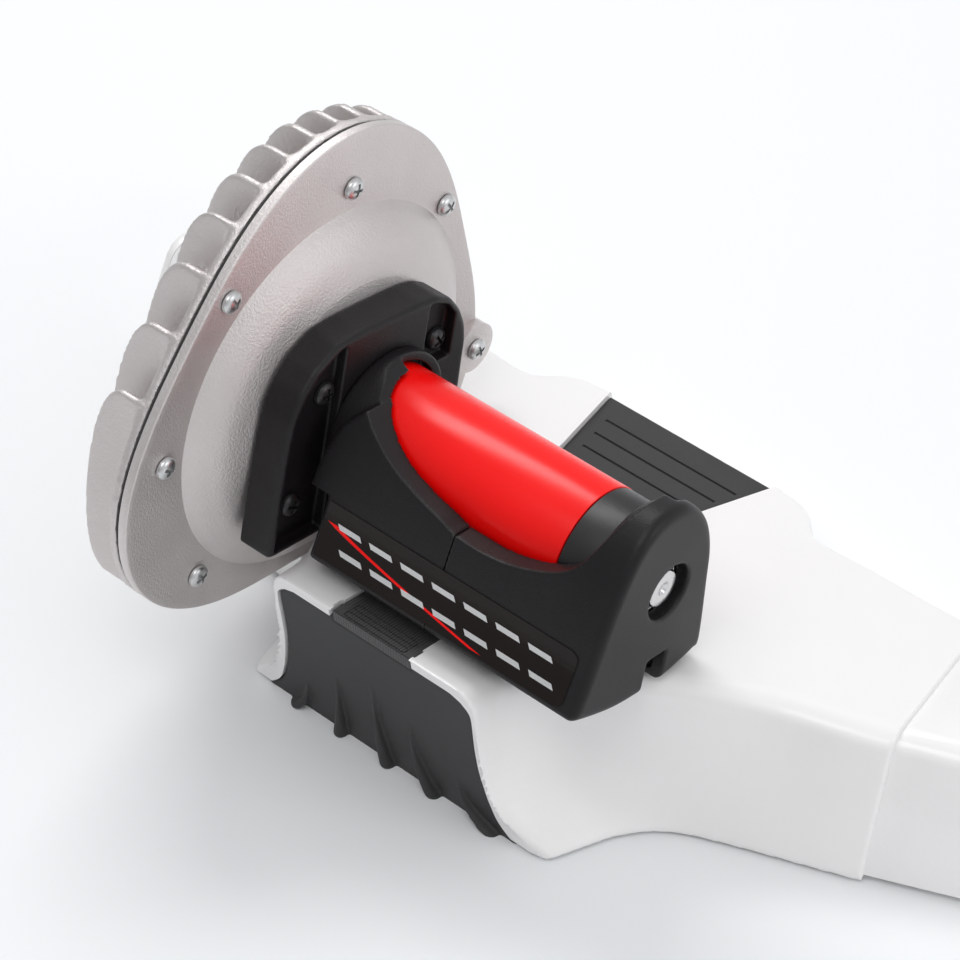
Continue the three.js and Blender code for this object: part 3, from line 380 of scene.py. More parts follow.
# %% Pits of a textured mould
pit_group, pit_in, pit_out = new_group("mould_texture", {"Pits per metre": 1600.0}, ["Pits"])
place = add(pit_group, "ShaderNodeTexCoord")
cells = add(pit_group, "ShaderNodeTexVoronoi", feature="SMOOTH_F1", Smoothness=0.4)
link(pit_group, place.outputs["Object"], cells.inputs["Vector"])
link(pit_group, pit_in.outputs["Pits per metre"], cells.inputs["Scale"])
noise = add(pit_group, "ShaderNodeTexNoise", Detail=2.0)
link(pit_group, place.outputs["Object"], noise.inputs["Vector"])
link(pit_group, pit_in.outputs["Pits per metre"], noise.inputs["Scale"])
both = add(pit_group, "ShaderNodeMath", operation="ADD")
link(pit_group, cells.outputs["Distance"], both.inputs[0])
link(pit_group, noise.outputs["Fac"], both.inputs[1])
link(pit_group, both.outputs["Value"], pit_out.inputs["Pits"])
print("mould_texture group made")

# %% [markdown]
# Edges of cast and moulded pieces look lighter where hands and tools have rubbed them.
# Pointiness tells how sharply the surface bends at a point.

# %% Worn edges
edge_group, edge_in, edge_out = new_group("worn_edges", {"Edge start": 0.53, "Edge end": 0.62}, ["Edge"])
bend = add(edge_group, "ShaderNodeNewGeometry")
rise = add(edge_group, "ShaderNodeMapRange")
link(edge_group, bend.outputs["Pointiness"], rise.inputs["Value"])
link(edge_group, edge_in.outputs["Edge start"], rise.inputs["From Min"])
link(edge_group, edge_in.outputs["Edge end"], rise.inputs["From Max"])
link(edge_group, rise.outputs["Result"], edge_out.inputs["Edge"])
print("worn_edges group made")

# %% [markdown]
# ## Finishes
# A finish mixes a base colour with a clouded one, may lighten the edges, bends the surface
# with its grain and lets the cloud vary the roughness. Only the numbers differ from one finish
# to the next, so one function writes them all, and the special one adds to its result.

# %% One recipe for the finishes
MIX_FIRST, MIX_SECOND, MIX_RESULT = 6, 7, 2


def use_group(tree, group, **values):
    node = tree.nodes.new("ShaderNodeGroup")
    node.node_tree = group
    for title, value in values.items():
        node.inputs[title.replace("_", " ")].default_value = value
    return node


def mixed(tree, amount, first, second):
    """A colour between two, each a colour value or a socket; the mix node's colour sockets
    share their names with others, so they are found by number."""
    mix = add(tree, "ShaderNodeMix", data_type="RGBA")
    link(tree, amount, mix.inputs["Factor"])
    for entry, value in ((mix.inputs[MIX_FIRST], first), (mix.inputs[MIX_SECOND], second)):
        if isinstance(value, bpy.types.NodeSocket):
            link(tree, value, entry)
        else:
            entry.default_value = (*value, 1.0)
    return mix.outputs[MIX_RESULT]


def finish(name, colour, cloud, edge, rough, grain, bump, shader=None, metal=0.0, pits=0.0,
           clouds=20.0):
    """colour, cloud and edge are colours, edge may be None; rough is a (low, high) pair; grain,
    pits and clouds are counted per metre."""
    made = bpy.data.materials.new(name)
    made.use_nodes = True
    tree = made.node_tree
    surface = tree.nodes["Principled BSDF"]
    texture = use_group(tree, grain_group, Grains_per_metre=grain, Clouds_per_metre=clouds)
    skin = mixed(tree, texture.outputs["Cloud"], colour, cloud)
    if edge:
        edges = use_group(tree, edge_group)
        skin = mixed(tree, edges.outputs["Edge"], skin, edge)
    link(tree, skin, surface.inputs["Base Color"])
    dullness = add(tree, "ShaderNodeMapRange", To_Min=rough[0], To_Max=rough[1])
    link(tree, texture.outputs["Cloud"], dullness.inputs["Value"])
    link(tree, dullness.outputs["Result"], surface.inputs["Roughness"])
    height = texture.outputs["Grain"]
    if pits:
        mould_texture = use_group(tree, pit_group, Pits_per_metre=pits)
        height = mould_texture.outputs["Pits"]
    dent = add(tree, "ShaderNodeBump", Strength=bump, Distance=MILLIMETRE)
    link(tree, height, dent.inputs["Height"])
    link(tree, dent.outputs["Normal"], surface.inputs["Normal"])
    surface.inputs["Metallic"].default_value = metal
    for title, value in (shader or {}).items():
        surface.inputs[title].default_value = value
    return made


print("finish recipe ready")

# %% [markdown]
# The housing is cast aluminium, blasted to an even satin: a warm pale grey with a fine grain,
# and lighter where the edges have rubbed. Screws and shaft are steel, zinc-plated or blackened.

# %% Metals
cast_aluminium = finish(
    "cast_aluminium", (0.60, 0.555, 0.545), (0.68, 0.64, 0.63), (0.82, 0.80, 0.79), (0.40, 0.48),
    grain=1100.0, bump=0.20, metal=0.8)
machined_aluminium = finish(
    "machined_aluminium", (0.60, 0.60, 0.61), (0.68, 0.68, 0.69), (0.8, 0.8, 0.8), (0.28, 0.36),
    grain=2500.0, bump=0.05, metal=1.0)
bright_steel = finish(
    "bright_steel", (0.62, 0.62, 0.63), (0.72, 0.72, 0.73), (0.85, 0.85, 0.86), (0.16, 0.26),
    grain=2500.0, bump=0.04, metal=1.0)
zinc_steel = finish(
    "zinc_steel", (0.58, 0.59, 0.60), (0.68, 0.68, 0.67), (0.86, 0.87, 0.88), (0.29, 0.36),
    grain=2600.0, bump=0.06, metal=1.0, clouds=160.0)
black_steel = finish(
    "black_steel", (0.035, 0.034, 0.036), (0.055, 0.052, 0.054), (0.22, 0.21, 0.21), (0.29, 0.36),
    grain=2400.0, bump=0.05, metal=0.7)
print("metals:", cast_aluminium.name, zinc_steel.name, bright_steel.name, black_steel.name)

# %% [markdown]
# The cover and the plate are black moulded plastic with a fine texture. The base is a glossy
# white moulding, the frame tubes are painted white, and foot, strip and pad are dark rubber.
# The film on the cover and its print are nearly smooth, so they mirror more than the rest.

# %% Plastics, paint and rubber
black_plastic = finish(
    "black_plastic", (0.0075, 0.0062, 0.0070), (0.011, 0.0095, 0.0105), (0.06, 0.058, 0.06),
    (0.40, 0.48), grain=1500.0, bump=0.10, pits=1900.0, shader={"Specular IOR Level": 0.3})
satin_plastic = finish(
    "satin_plastic", (0.010, 0.009, 0.010), (0.016, 0.015, 0.016), (0.08, 0.075, 0.075),
    (0.34, 0.42), grain=1500.0, bump=0.04)
white_plastic = finish(
    "white_plastic", (0.86, 0.848, 0.842), (0.88, 0.87, 0.865), None, (0.29, 0.36),
    grain=500.0, bump=0.02, shader={"Coat Weight": 0.3, "Coat Roughness": 0.12})
white_paint = finish(
    "white_paint", (0.86, 0.85, 0.845), (0.88, 0.872, 0.868), None, (0.29, 0.35),
    grain=300.0, bump=0.05, shader={"Coat Weight": 0.5, "Coat Roughness": 0.08})
dark_rubber = finish(
    "dark_rubber", (0.024, 0.024, 0.0245), (0.034, 0.034, 0.0345), (0.07, 0.07, 0.07),
    (0.55, 0.68), grain=1800.0, bump=0.14)
red_sleeve = finish(
    "red_sleeve", (0.90, 0.0025, 0.0018), (0.94, 0.004, 0.003), None, (0.22, 0.27),
    grain=700.0, bump=0.012, shader={"Specular IOR Level": 0.32})
gasket_fibre = finish(
    "gasket_fibre", (0.020, 0.019, 0.018), (0.035, 0.033, 0.031), (0.05, 0.05, 0.05),
    (0.75, 0.9), grain=2200.0, bump=0.2)
label_film = finish(
    "label_film", (0.010, 0.006, 0.0055), (0.014, 0.009, 0.008), None, (0.10, 0.14),
    grain=500.0, bump=0.01, shader={"Specular IOR Level": 0.32})
silver_print = finish(
    "silver_print", (0.62, 0.61, 0.61), (0.70, 0.69, 0.69), (0.75, 0.75, 0.75), (0.30, 0.38),
    grain=1500.0, bump=0.02, metal=0.6)
print("plastics, paint and rubber made")

# %% [markdown]
# The strip in the deck's rear edge has fine ribs across it, too fine to be worth geometry. A
# wave texture along X adds them to the rubber's own grain as bumps and paints a highlight on their crests.

# %% Ribbed rubber
ribbed_rubber = dark_rubber.copy()
ribbed_rubber.name = "ribbed_rubber"
rib_tree = ribbed_rubber.node_tree
rib_place = add(rib_tree, "ShaderNodeTexCoord")
rib_wave = add(rib_tree, "ShaderNodeTexWave", wave_type="BANDS", bands_direction="X", Scale=285.0)
link(rib_tree, rib_place.outputs["Object"], rib_wave.inputs["Vector"])
rib_dent = add(rib_tree, "ShaderNodeBump", Strength=0.6, Distance=0.3 * MILLIMETRE)
link(rib_tree, rib_wave.outputs["Fac"], rib_dent.inputs["Height"])
rib_surface = rib_tree.nodes["Principled BSDF"]
rib_colour = rib_surface.inputs["Base Color"].links[0].from_socket
# painted highlight: the rib crests are mixed towards a lighter grey, as if they caught the light
rib_crest_highlight = mixed(rib_tree, rib_wave.outputs["Fac"], rib_colour, (0.085, 0.085, 0.085))
link(rib_tree, rib_crest_highlight, rib_surface.inputs["Base Color"])
rib_grain = rib_surface.inputs["Normal"].links[0].from_socket
link(rib_tree, rib_grain, rib_dent.inputs["Normal"])
link(rib_tree, rib_dent.outputs["Normal"], rib_surface.inputs["Normal"])
print("ribbed rubber made")

# %% [markdown]
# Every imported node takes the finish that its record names, also those inside, which show
# only when the unit is taken apart. Their rounded faces are shaded smooth, and a small bevel
# takes the knife edge off each rim. The plugs take the white of the legs that they close.

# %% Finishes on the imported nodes
FINISHES = {
    made.name.split(".")[0]: made
    for made in (
        white_plastic, white_paint, black_plastic, satin_plastic, red_sleeve, dark_rubber, cast_aluminium,
        machined_aluminium, bright_steel, zinc_steel, black_steel, gasket_fibre)
}
WELD_GAP, EDGE_BREAK, EDGE_ANGLE = 0.005, 0.25, 32

slot_of_node = {name: node.data.materials[0].name for name, node in frame["nodes"].items()}
for name, node in frame["nodes"].items():
    node.data.materials[0] = FINISHES[slot_of_node[name].split(".")[0]]
    for polygon in node.data.polygons:
        polygon.use_smooth = True
    weld = node.modifiers.new("weld", "WELD")
    weld.merge_threshold = WELD_GAP * MILLIMETRE
    edge = node.modifiers.new("edge", "BEVEL")
    edge.width = EDGE_BREAK * MILLIMETRE
    edge.segments = 2
    edge.limit_method = "ANGLE"
    edge.angle_limit = math.radians(EDGE_ANGLE)
    edge.harden_normals = True
for name in ("tube_plug_left", "tube_plug_right"):
    frame["nodes"][name].data.materials[0] = white_plastic
print("slots:", sorted(set(slot_of_node.values())))

# %% [markdown]
# ## The roller
# The red sleeve is a soft elastomer cast round an aluminium core and ground true, so it is a
# plain turned form with softly broken edges. The dark hub ring closes its cap end, with a
# thin line between the two.

# %% Turned sleeve and hub ring
ROLLER_RADIUS, SLEEVE_BORE = 22.5, 19.5
SLEEVE_START, SLEEVE_END, SLEEVE_EDGES = -43.0, 49.2, (0.9, 0.35)
RING_START, RING_END, RING_EDGES = 49.5, 65.2, (0.3, 0.9)
RING_RADIUS, RING_BORE, RING_RIM = ROLLER_RADIUS - 0.2, 12.0, 3.4


def broken_edge(radius, x, size, end):
    """The arc of a broken outer edge at x, walked towards larger x; end is -1 or 1."""
    turns = quarter_turn(5)
    if end < 0:
        turns = [math.pi / 2 - turn for turn in turns]
    return [(radius - size * (1 - math.cos(turn)), x - end * size * (1 - math.sin(turn))) for turn in turns]


def turned_ring(radius, start, end, edges):
    """The outside of a ring from its bore at the start to its edge at the end."""
    return [
        (SLEEVE_BORE, start),
        *broken_edge(radius, start, edges[0], -1),
        *broken_edge(radius, end, edges[1], 1),
    ]


sleeve_profile = turned_ring(ROLLER_RADIUS, SLEEVE_START, SLEEVE_END, SLEEVE_EDGES)
sleeve_profile += [(SLEEVE_BORE, SLEEVE_END)]
sleeve = lathe("red_roller_sleeve", sleeve_profile, 160)
seat(sleeve, LEANING, "roller", "red_sleeve", "roller_sleeve")
ring_profile = turned_ring(RING_RADIUS, RING_START, RING_END, RING_EDGES)
ring_profile += [(RING_BORE, RING_END), (RING_BORE, RING_END - RING_RIM), (SLEEVE_BORE, RING_END - RING_RIM)]
hub_ring = lathe("hub_ring_turned", ring_profile, 160)
seat(hub_ring, LEANING, "roller", "satin_plastic", "roller_hub_ring")

# %% [markdown]
# ## The cover
# Two black mouldings meet at a seam across the roller. Their outer form is one section pushed
# along the roller and rounded over at the cap, opened by a curve that follows the roller's
# side. The collar round the roller's plate end and the flared mouth at its cap end grow out of
# the same wall. Modelling the whole for each half and cutting the rest away keeps both true.

# %% Cover sizes
COVER_SECTION = [
    (-40.9, -32.6), (-37.6, -34.6), (-19.5, -39.4), (-4, -40.8), (8.3, -40.6), (17.6, -39),
    (25.6, -36.8), (28.6, -33.6), (24.5, -6), (22, 8), (17, 20), (9, 29), (0, 34), (-12, 34),
    (-21, 28), (-28, 15), (-33.5, -3), (-37, -18), (-40.3, -29.5),
]
COVER_START, COVER_END, COVER_SEAM = -44.5, 79.7, 16.0
COVER_WALL, COVER_END_WALL, COVER_ROUND = 3.0, 4.9, 3.5
RIM_CURVE = [
    (-26.8, 17.2), (-19.4, 12.5), (-11.2, 8.6), (-0.9, 5.3), (8.8, 3), (15.9, 1.1), (26.7, 0.7),
    (38.6, 2.2), (51.2, 6.3), (59.3, 11.2), (63.7, 18), (67.5, 27.5), (70.5, 34.6),
]
HOOD_EDGE = [(-42.7, -10.6), (-41.2, 2.4), (-37.7, 13.3), (-31.4, 21)]
SHOULDER = [(24.4, 62.2), (25.4, 63.4), (27, 67), (29, 71.5), (31.6, 74), (34, 75.2)]
COLLAR_INNER, COLLAR_OUTER, COLLAR_END = 24.0, 27.3, -40.0
COLLAR_RIM = [(-38.4, 26), (-35.6, 24.4), (-33, 22), (-31, 19.6)]
COLLAR_REACH, COLLAR_OVERLAP = -30.0, 1.0
SADDLE_FLOOR, MOUTH_RADIUS, MOUTH_REACH = -8.0, 36.0, 76.0
HOLLOW_TOP, BLOCK_RADIUS, BLOCK_FACE = -12.0, 17.6, 65.7
BEARING_SEAT, BEARING_END, CAP_HOLE, CAP_HOLE_START = 14.3, 74.3, 10.3, 66.0
FAR, OVERLAP = 90.0, 0.3
CAP_SLOT = ((69.9, -3.6, -44), (FAR, 7, -27))
BRACKET_WINDOW = ((-60, -20, -FAR), (64, 20, -30))
HOOD_NOTCH = ((-FAR, -FAR, -FAR), (-34.5, -12, -10.6))
HALF_SEAM, OUTSIDE = 0.15, FAR - 1
SECTION_CENTRE, SECTION_REACH = Vector((-6.0, -4.0)), 34.0


def cover_section(depth):
    """The smooth section drawn in by a depth. It shrinks about a centre, because an offset
    of so small a corner would cross itself."""
    scale = 1 - depth / SECTION_REACH
    return [
        tuple(SECTION_CENTRE + (Vector(point) - SECTION_CENTRE) * scale)
        for point in smooth(COVER_SECTION, 5, closed=True)
    ]


print("cover section has", len(cover_section(0)), "points")

# %% Cover form
def cover_outer():
    rings = [[(COVER_START, y, z) for y, z in cover_section(0)]]
    for turn in quarter_turn(7):
        x = COVER_END - COVER_ROUND * (1 - math.sin(turn))
        depth = COVER_ROUND * (1 - math.cos(turn))
        rings.append([(x, y, z) for y, z in cover_section(depth)])
    return loft("cover_outer", rings)


def cover_opening():
    outline = [
        (-FAR, HOOD_EDGE[0][1]), *smooth(HOOD_EDGE, 6), *smooth(RIM_CURVE, 6),
        (MOUTH_REACH, FAR), (-FAR, FAR),
    ]
    opening = prism("rear_opening", outline, -FAR, OVERLAP, "Y")
    join(opening, box("front_opening", (-FAR, 0, SADDLE_FLOOR), (MOUTH_REACH, FAR, FAR)))
    mouth = [(0, SHOULDER[0][1]), *smooth(SHOULDER, 5), (MOUTH_RADIUS, COVER_END), (0, COVER_END)]
    return cut(opening, lathe("mouth", mouth))


def cover_collar():
    collar = tube("collar", COLLAR_INNER - COLLAR_OVERLAP, COLLAR_OUTER, COVER_START, COLLAR_REACH, 128)
    rim = smooth([(COLLAR_END, COLLAR_OUTER), *COLLAR_RIM], 5)
    outline = [*rim, (FAR, COLLAR_RIM[-1][1]), (FAR, FAR), (COLLAR_END, FAR)]
    return cut(
        collar,
        prism("above_rim", outline, -FAR, OVERLAP, "Y"),
        box("front_part", (COLLAR_END, 0, -FAR), (FAR, FAR, FAR)))


def cover_hollow():
    hollow = prism(
        "hollow", cover_section(COVER_WALL), COVER_START - COVER_WALL, COVER_END - COVER_END_WALL, "X")
    cut(hollow, box("above_hollow", (-FAR, -FAR, HOLLOW_TOP), (FAR, FAR, FAR)))
    return cut(hollow, rod("bearing_block", BLOCK_RADIUS, BLOCK_FACE, COVER_END))


def whole_cover():
    cover = cut(cover_outer(), cover_opening(), box("hood_notch", *HOOD_NOTCH))
    join(cover, cover_collar())
    cutters = cover_hollow()
    join(
        cutters,
        rod("roller_bore", COLLAR_INNER, COVER_START - COVER_WALL, BLOCK_FACE, steps=128),
        rod("bearing_seat", BEARING_SEAT, BLOCK_FACE - OVERLAP, BEARING_END),
        rod("cap_hole", CAP_HOLE, CAP_HOLE_START, FAR, steps=96),
        box("cap_slot", *CAP_SLOT),
        box("bracket_window", *BRACKET_WINDOW))
    return cut(cover, cutters)


def cover_half(name, keep_from, keep_to, node):
    half = whole_cover()
    cut(half, box("before", (-FAR, -FAR, -FAR), (keep_from, FAR, FAR)),
        box("after", (keep_to, -FAR, -FAR), (FAR * 2, FAR, FAR)))
    mould(half, voxel=0.6, passes=4)
    half.name = name
    return seat(half, LEANING, "base", "black_plastic", node, crease=None)


cover_half("cover_plate_half", -OUTSIDE, COVER_SEAM - HALF_SEAM, "cover_plate_side")
cover_half("cover_cap_half", COVER_SEAM + HALF_SEAM, OUTSIDE, "cover_cap_side")

# %% [markdown]
# ## The mounting plate
# A thick black moulding bolts the cover to the brake. Its front is cut back round the screws,
# so that their heads sink in, and a thin rim stands round each recess. The outline is
# measured on the real plate, a little wider on its rear side.

# %% Mounting plate
PLATE_FRONT, PLATE_BACK, PLATE_ROUND, PLATE_CORNER, PLATE_REACH = -44.8, -58.5, 2.0, 2.0, 44.0
PLATE_OUTLINE = [
    (44.2, -37.5), (44.2, -5), (43.8, 3.5), (43.4, 14.8), (41.6, 22), (37.6, 29), (31.5, 35.6),
    (24, 39), (14.5, 40.2), (0, 40.6), (-15, 40.8), (-27, 39.6), (-37, 33.4), (-42.9, 25.9),
    (-46.5, 17.5), (-47.8, 5.7), (-48.6, -10.4), (-49, -37.5),
]
POCKET_FLOOR, POCKET_RIM = PLATE_FRONT - 4.5, 2.2
POCKETS = [(-FAR, -22.8, -FAR, FAR), (19.5, 34.6, 11.5, FAR), (28.5, FAR, -FAR, -14.5)]
PLATE_SCREWS = [(-27.4, 19.6), (-37.6, -21.3), (29.9, 18.4), (37.0, -23.0)]
SHAFT_BORE, OVERRUN = 8.0, 5.0


def plate_ring(x, depth):
    shrink = 1 - depth / PLATE_REACH
    return [(x, y * shrink, z * shrink) for y, z in filleted(PLATE_OUTLINE, PLATE_CORNER, 3)]


def plate_form():
    rings = [plate_ring(PLATE_BACK, 0)]
    for turn in quarter_turn(5):
        x = PLATE_FRONT - PLATE_ROUND * (1 - math.sin(turn))
        rings.append(plate_ring(x, PLATE_ROUND * (1 - math.cos(turn))))
    return loft("mounting_plate_moulded", rings)


def plate_pocket(left, end, low, high):
    shrink = 1 - POCKET_RIM / PLATE_REACH
    rim = [(y * shrink, z * shrink) for y, z in PLATE_OUTLINE]
    pocket = prism("pocket", rim, POCKET_FLOOR, FAR, "X")
    return combine(pocket, [box("part", (-FAR, left, low), (FAR * 2, end, high))], "INTERSECT")


mounting_plate = cut(
    plate_form(), *(plate_pocket(*pocket) for pocket in POCKETS),
    rod("shaft_bore", SHAFT_BORE, PLATE_BACK - OVERRUN, FAR))
mould(mounting_plate, voxel=0.6, passes=3)
seat(mounting_plate, LEANING, "base", "black_plastic", "mounting_plate", crease=None)

# %% [markdown]
# ## The brake
# A lobed flange and a finned housing hold the fluid. The flange is one casting: a flat edge
# band, a dish that swells towards the roller, and a lug at the front. Since every section
# through the axis is alike but for the edge, rings of points from the hub out to the edge
# and back make it in one skin, with true fillets.

# %% Flange sizes
FLANGE_RADIUS, FLANGE_LOBE, FLANGE_LOBES, FLANGE_TURN = 86.9, 8.3, 3, math.radians(88)
FLANGE_SHIFT, FLANGE_SHIFT_TURN = 5.5, math.radians(134)
FLANGE_FRONT, FLANGE_THICK = -70.1, 3.6
DISH = [(46, 11.2), (50, 10.1), (58, 7.6), (65, 3.6), (69.3, 0)]
DISH_WALL, DISH_EDGE, DISH_BACK, HUB_BORE = 4.0, 71.5, 69.0, 14.3
BAND_INSET, FRONT_BREAK, BACK_BREAK = 3.0, 0.6, 0.2
LUG_PLACE, LUG_RADIUS, LUG_FRONT, LUG_SINK = (81.0, -16.0), 10.0, -66.6, 0.1
RING_STEPS = 240


def edge_radius(angle):
    lobes = FLANGE_LOBE * math.cos(FLANGE_LOBES * (angle - FLANGE_TURN))
    return FLANGE_RADIUS + lobes + FLANGE_SHIFT * math.cos(angle - FLANGE_SHIFT_TURN)


def lobed_ring(offset, x, steps=RING_STEPS):
    ring = []
    for step in range(steps):
        angle = math.tau * step / steps
        radius = edge_radius(angle) + offset
        ring.append((x, radius * math.cos(angle), radius * math.sin(angle)))
    return ring


def round_ring(radius, x):
    return [(x, a, b) for a, b in circle(radius, RING_STEPS)]


print("flange edge from", FLANGE_RADIUS - FLANGE_LOBE, "to", FLANGE_RADIUS + FLANGE_LOBE)

# %% Flange casting
def flange_rings():
    back = FLANGE_FRONT - FLANGE_THICK
    dish = smooth(DISH, 6)
    rings = [round_ring(HUB_BORE, FLANGE_FRONT + DISH[0][1])]
    rings += [round_ring(radius, FLANGE_FRONT + rise) for radius, rise in dish]
    rings += [round_ring(DISH_EDGE, FLANGE_FRONT), lobed_ring(-BAND_INSET, FLANGE_FRONT)]
    for turn in quarter_turn(4):
        x = FLANGE_FRONT - FRONT_BREAK * (1 - math.cos(turn))
        rings.append(lobed_ring(FRONT_BREAK * (math.sin(turn) - 1), x))
    rings += [lobed_ring(0, back + BACK_BREAK), lobed_ring(-BACK_BREAK, back), round_ring(DISH_BACK, back)]
    rings += [
        round_ring(max(radius - DISH_WALL, HUB_BORE), FLANGE_FRONT + rise - DISH_WALL)
        for radius, rise in reversed(dish)
    ]
    rings.append(round_ring(HUB_BORE, FLANGE_FRONT + DISH[0][1] - DISH_WALL))
    return rings


flange = loft("flange_casting", flange_rings(), closed=True)
lug_back = FLANGE_FRONT - FLANGE_THICK + LUG_SINK
join(flange, rod("lug", LUG_RADIUS, lug_back, LUG_FRONT, *LUG_PLACE, steps=64))
seat(flange, LEANING, "base", "cast_aluminium", "brake_flange", crease=35.0)

# %% [markdown]
# ## The finned housing
# Fourteen fins stand across the back of the brake. Each is a flat plate whose back edge
# follows one rounded dome, so together they look like a scored bowl. Fins, drum, plate and
# screw posts are laid over each other and remeshed, which grows the small fillets that
# molten metal leaves where two walls meet.

# %% Finned housing
FIN_REACH, FIN_PITCH, FIN_THICK, FIN_POWER = 26.0, 11.8, 3.0, 3.7
FINS_LEFT, FINS_RIGHT, FIN_INSET, FIN_SEARCH = 7, 6, 0.3, 0.2
DRUM_RADIUS, DRUM_REACH, DRUM_ROUND, ROUND_SHARE = 68.0, 21.0, 6.0, 0.3
CHAMBER_RADIUS, CHAMBER_WALL = 63.0, 3.6
HOUSING_FRONT = -74.9
SCREW_CIRCLE, SCREW_INSET, SCREW_TURNS = 78.0, 7.0, (1, 2, 3, 4, 5, 7)
POST_RADIUS, POST_REACH, POST_SINK = 4.6, 9.0, 1.0
HOUSING_BACK = HOUSING_FRONT - FLANGE_THICK

screw_places = []
for eighth in SCREW_TURNS:
    screw_angle = math.tau * eighth / 8
    screw_reach = min(SCREW_CIRCLE, edge_radius(screw_angle) - SCREW_INSET)
    screw_places.append((screw_reach * math.cos(screw_angle), screw_reach * math.sin(screw_angle)))


def fin_tip(y, side):
    """How far a fin reaches before it meets the lobed edge, found in small steps inwards."""
    reach = FLANGE_RADIUS + FLANGE_LOBE + FLANGE_SHIFT
    while math.hypot(y, reach) > edge_radius(math.atan2(side * reach, y)) - FIN_INSET:
        reach -= FIN_SEARCH
    return reach


def fin(y, steps=36):
    edge = []
    for step in range(steps + 1):
        spread = math.sin((2 * step / steps - 1) * math.pi / 2)
        side = 1 if spread >= 0 else -1
        z = fin_tip(y, side) * spread
        share = min(1.0, math.hypot(y, z) / edge_radius(math.atan2(z, y)))
        edge.append((HOUSING_BACK - FIN_REACH * (1 - share ** FIN_POWER) ** (1 / FIN_POWER), z))
    front = HOUSING_BACK + FLANGE_THICK / 2
    outline = [(front, edge[0][1]), *edge, (front, edge[-1][1])]
    return prism("fin", outline, y - FIN_THICK / 2, y + FIN_THICK / 2, "Y")


def fin_housing():
    drum_back = HOUSING_BACK - DRUM_REACH
    drum = lathe("drum", [
        (0, HOUSING_FRONT), (DRUM_RADIUS, HOUSING_FRONT), (DRUM_RADIUS, drum_back + DRUM_ROUND),
        (DRUM_RADIUS - DRUM_ROUND * ROUND_SHARE, drum_back + DRUM_ROUND * ROUND_SHARE),
        (DRUM_RADIUS - DRUM_ROUND, drum_back), (0, drum_back)], 128)
    plate = loft("housing_casting", [lobed_ring(0, HOUSING_BACK), lobed_ring(0, HOUSING_FRONT)])
    fins = [fin(i * FIN_PITCH) for i in range(-FINS_LEFT, FINS_RIGHT + 1)]
    posts = [
        rod("post", POST_RADIUS, HOUSING_BACK - POST_REACH, HOUSING_FRONT - POST_SINK, y, z)
        for y, z in (*screw_places, LUG_PLACE)
    ]
    housing = lay_over(plate, [drum, *fins, *posts])
    mould(housing, voxel=0.95, passes=4)
    return cut(housing, rod("chamber", CHAMBER_RADIUS, drum_back + CHAMBER_WALL, 0, steps=128))


housing = seat(fin_housing(), LEANING, "base", "cast_aluminium", "fin_housing", crease=50.0)

# %% [markdown]
# ## The moulded base
# One injection moulding in glossy white carries the unit. Its deck slopes with the unit, its
# side walls sweep from the deck down and out to the floor, and two arms reach to the frame.
# The wall is drawn as rows of points from the deck down to the floor, each row a smooth curve
# through measured corners, so that it sweeps round without a kink.

# %% Base sizes
AXLE_HEIGHT, DECK_DEPTH, FLOOR_GAP = 101.6, 41.3, 1.5
BASE_WALL, SHOULDER_ROUND, FRONT_ROUND, FRONT_DRAFT, FOOT_RIM = 3.5, 8.0, 2.0, 8.0, 2.6
REAR_TOP, REAR_FOOT = -56.3, -48.5
SEAM_REACH, SEAM_SKEW, SEAM_RAKE = 151.97, 0.1959, 0.061
REAR_TOP_LINE = [
    (45, -48.3), (45.3, -42), (46, -34), (48.2, -26), (53, -17), (62, -7.5), (75, 4), (91.5, 16.5),
    (112.6, 31), (133.4, 39.8), (148, 46.4),
]
REAR_FOOT_LINE = [
    (64, -48.5), (69.7, -47.2), (72.6, -42.4), (75.4, -36.4), (80.2, -26.4), (85.6, -18.9),
    (92.2, -12.7), (101.5, -7.2), (120.2, 0.4), (140.5, 8), (155.4, 13.7),
]
LEFT_FOOT_LINE = [
    (-62.5, -48.5), (-64.5, -44), (-65.5, -37), (-67, -30), (-71, -21.5), (-77.5, -14.5), (-86, -10),
]
BOWS = [5.5, 5, 4.4, 3.8, 3, 2.2, 1.6, 1.2, 1, 1, 1]
FRONT_TOP_LINE = [
    (134.9, 120.5), (115.9, 119.7), (89, 119.3), (76, 118.4), (68.5, 118.3), (64.6, 119.6),
    (61.8, 122.1), (57.6, 127.2), (54.4, 130.1), (49.2, 132.4), (38.9, 133.9),
]
WALL_SHARES = [0.2, 0.28, 0.37, 0.46, 0.55, 0.64, 0.72, 0.79, 0.85, 0.9, 0.94, 0.97, 1.0]
FOOT_HEIGHT = FLOOR_GAP - AXLE_HEIGHT
TIP_OVER = Matrix.Rotation(LEAN, 4, "X")


def deck_height(y):
    return -(DECK_DEPTH + y * math.sin(LEAN)) / math.cos(LEAN)


def rear_plane(z):
    top = deck_height(REAR_TOP)
    return REAR_TOP + (REAR_FOOT - REAR_TOP) * (top - z) / (top + AXLE_HEIGHT)


def seam_plane(y, z):
    return SEAM_REACH - SEAM_SKEW * y - SEAM_RAKE * z


print("deck at the rear edge:", round(deck_height(REAR_TOP), 1), "mm from the roller axis")

# %% [markdown]
# Each stretch of wall is one smooth curve in five values at once: where it starts on the deck,
# where it ends at the floor, and how strongly it bows between the two. The wall's outward
# direction comes from the curve, so the rounded shoulder keeps an even width round the bends.

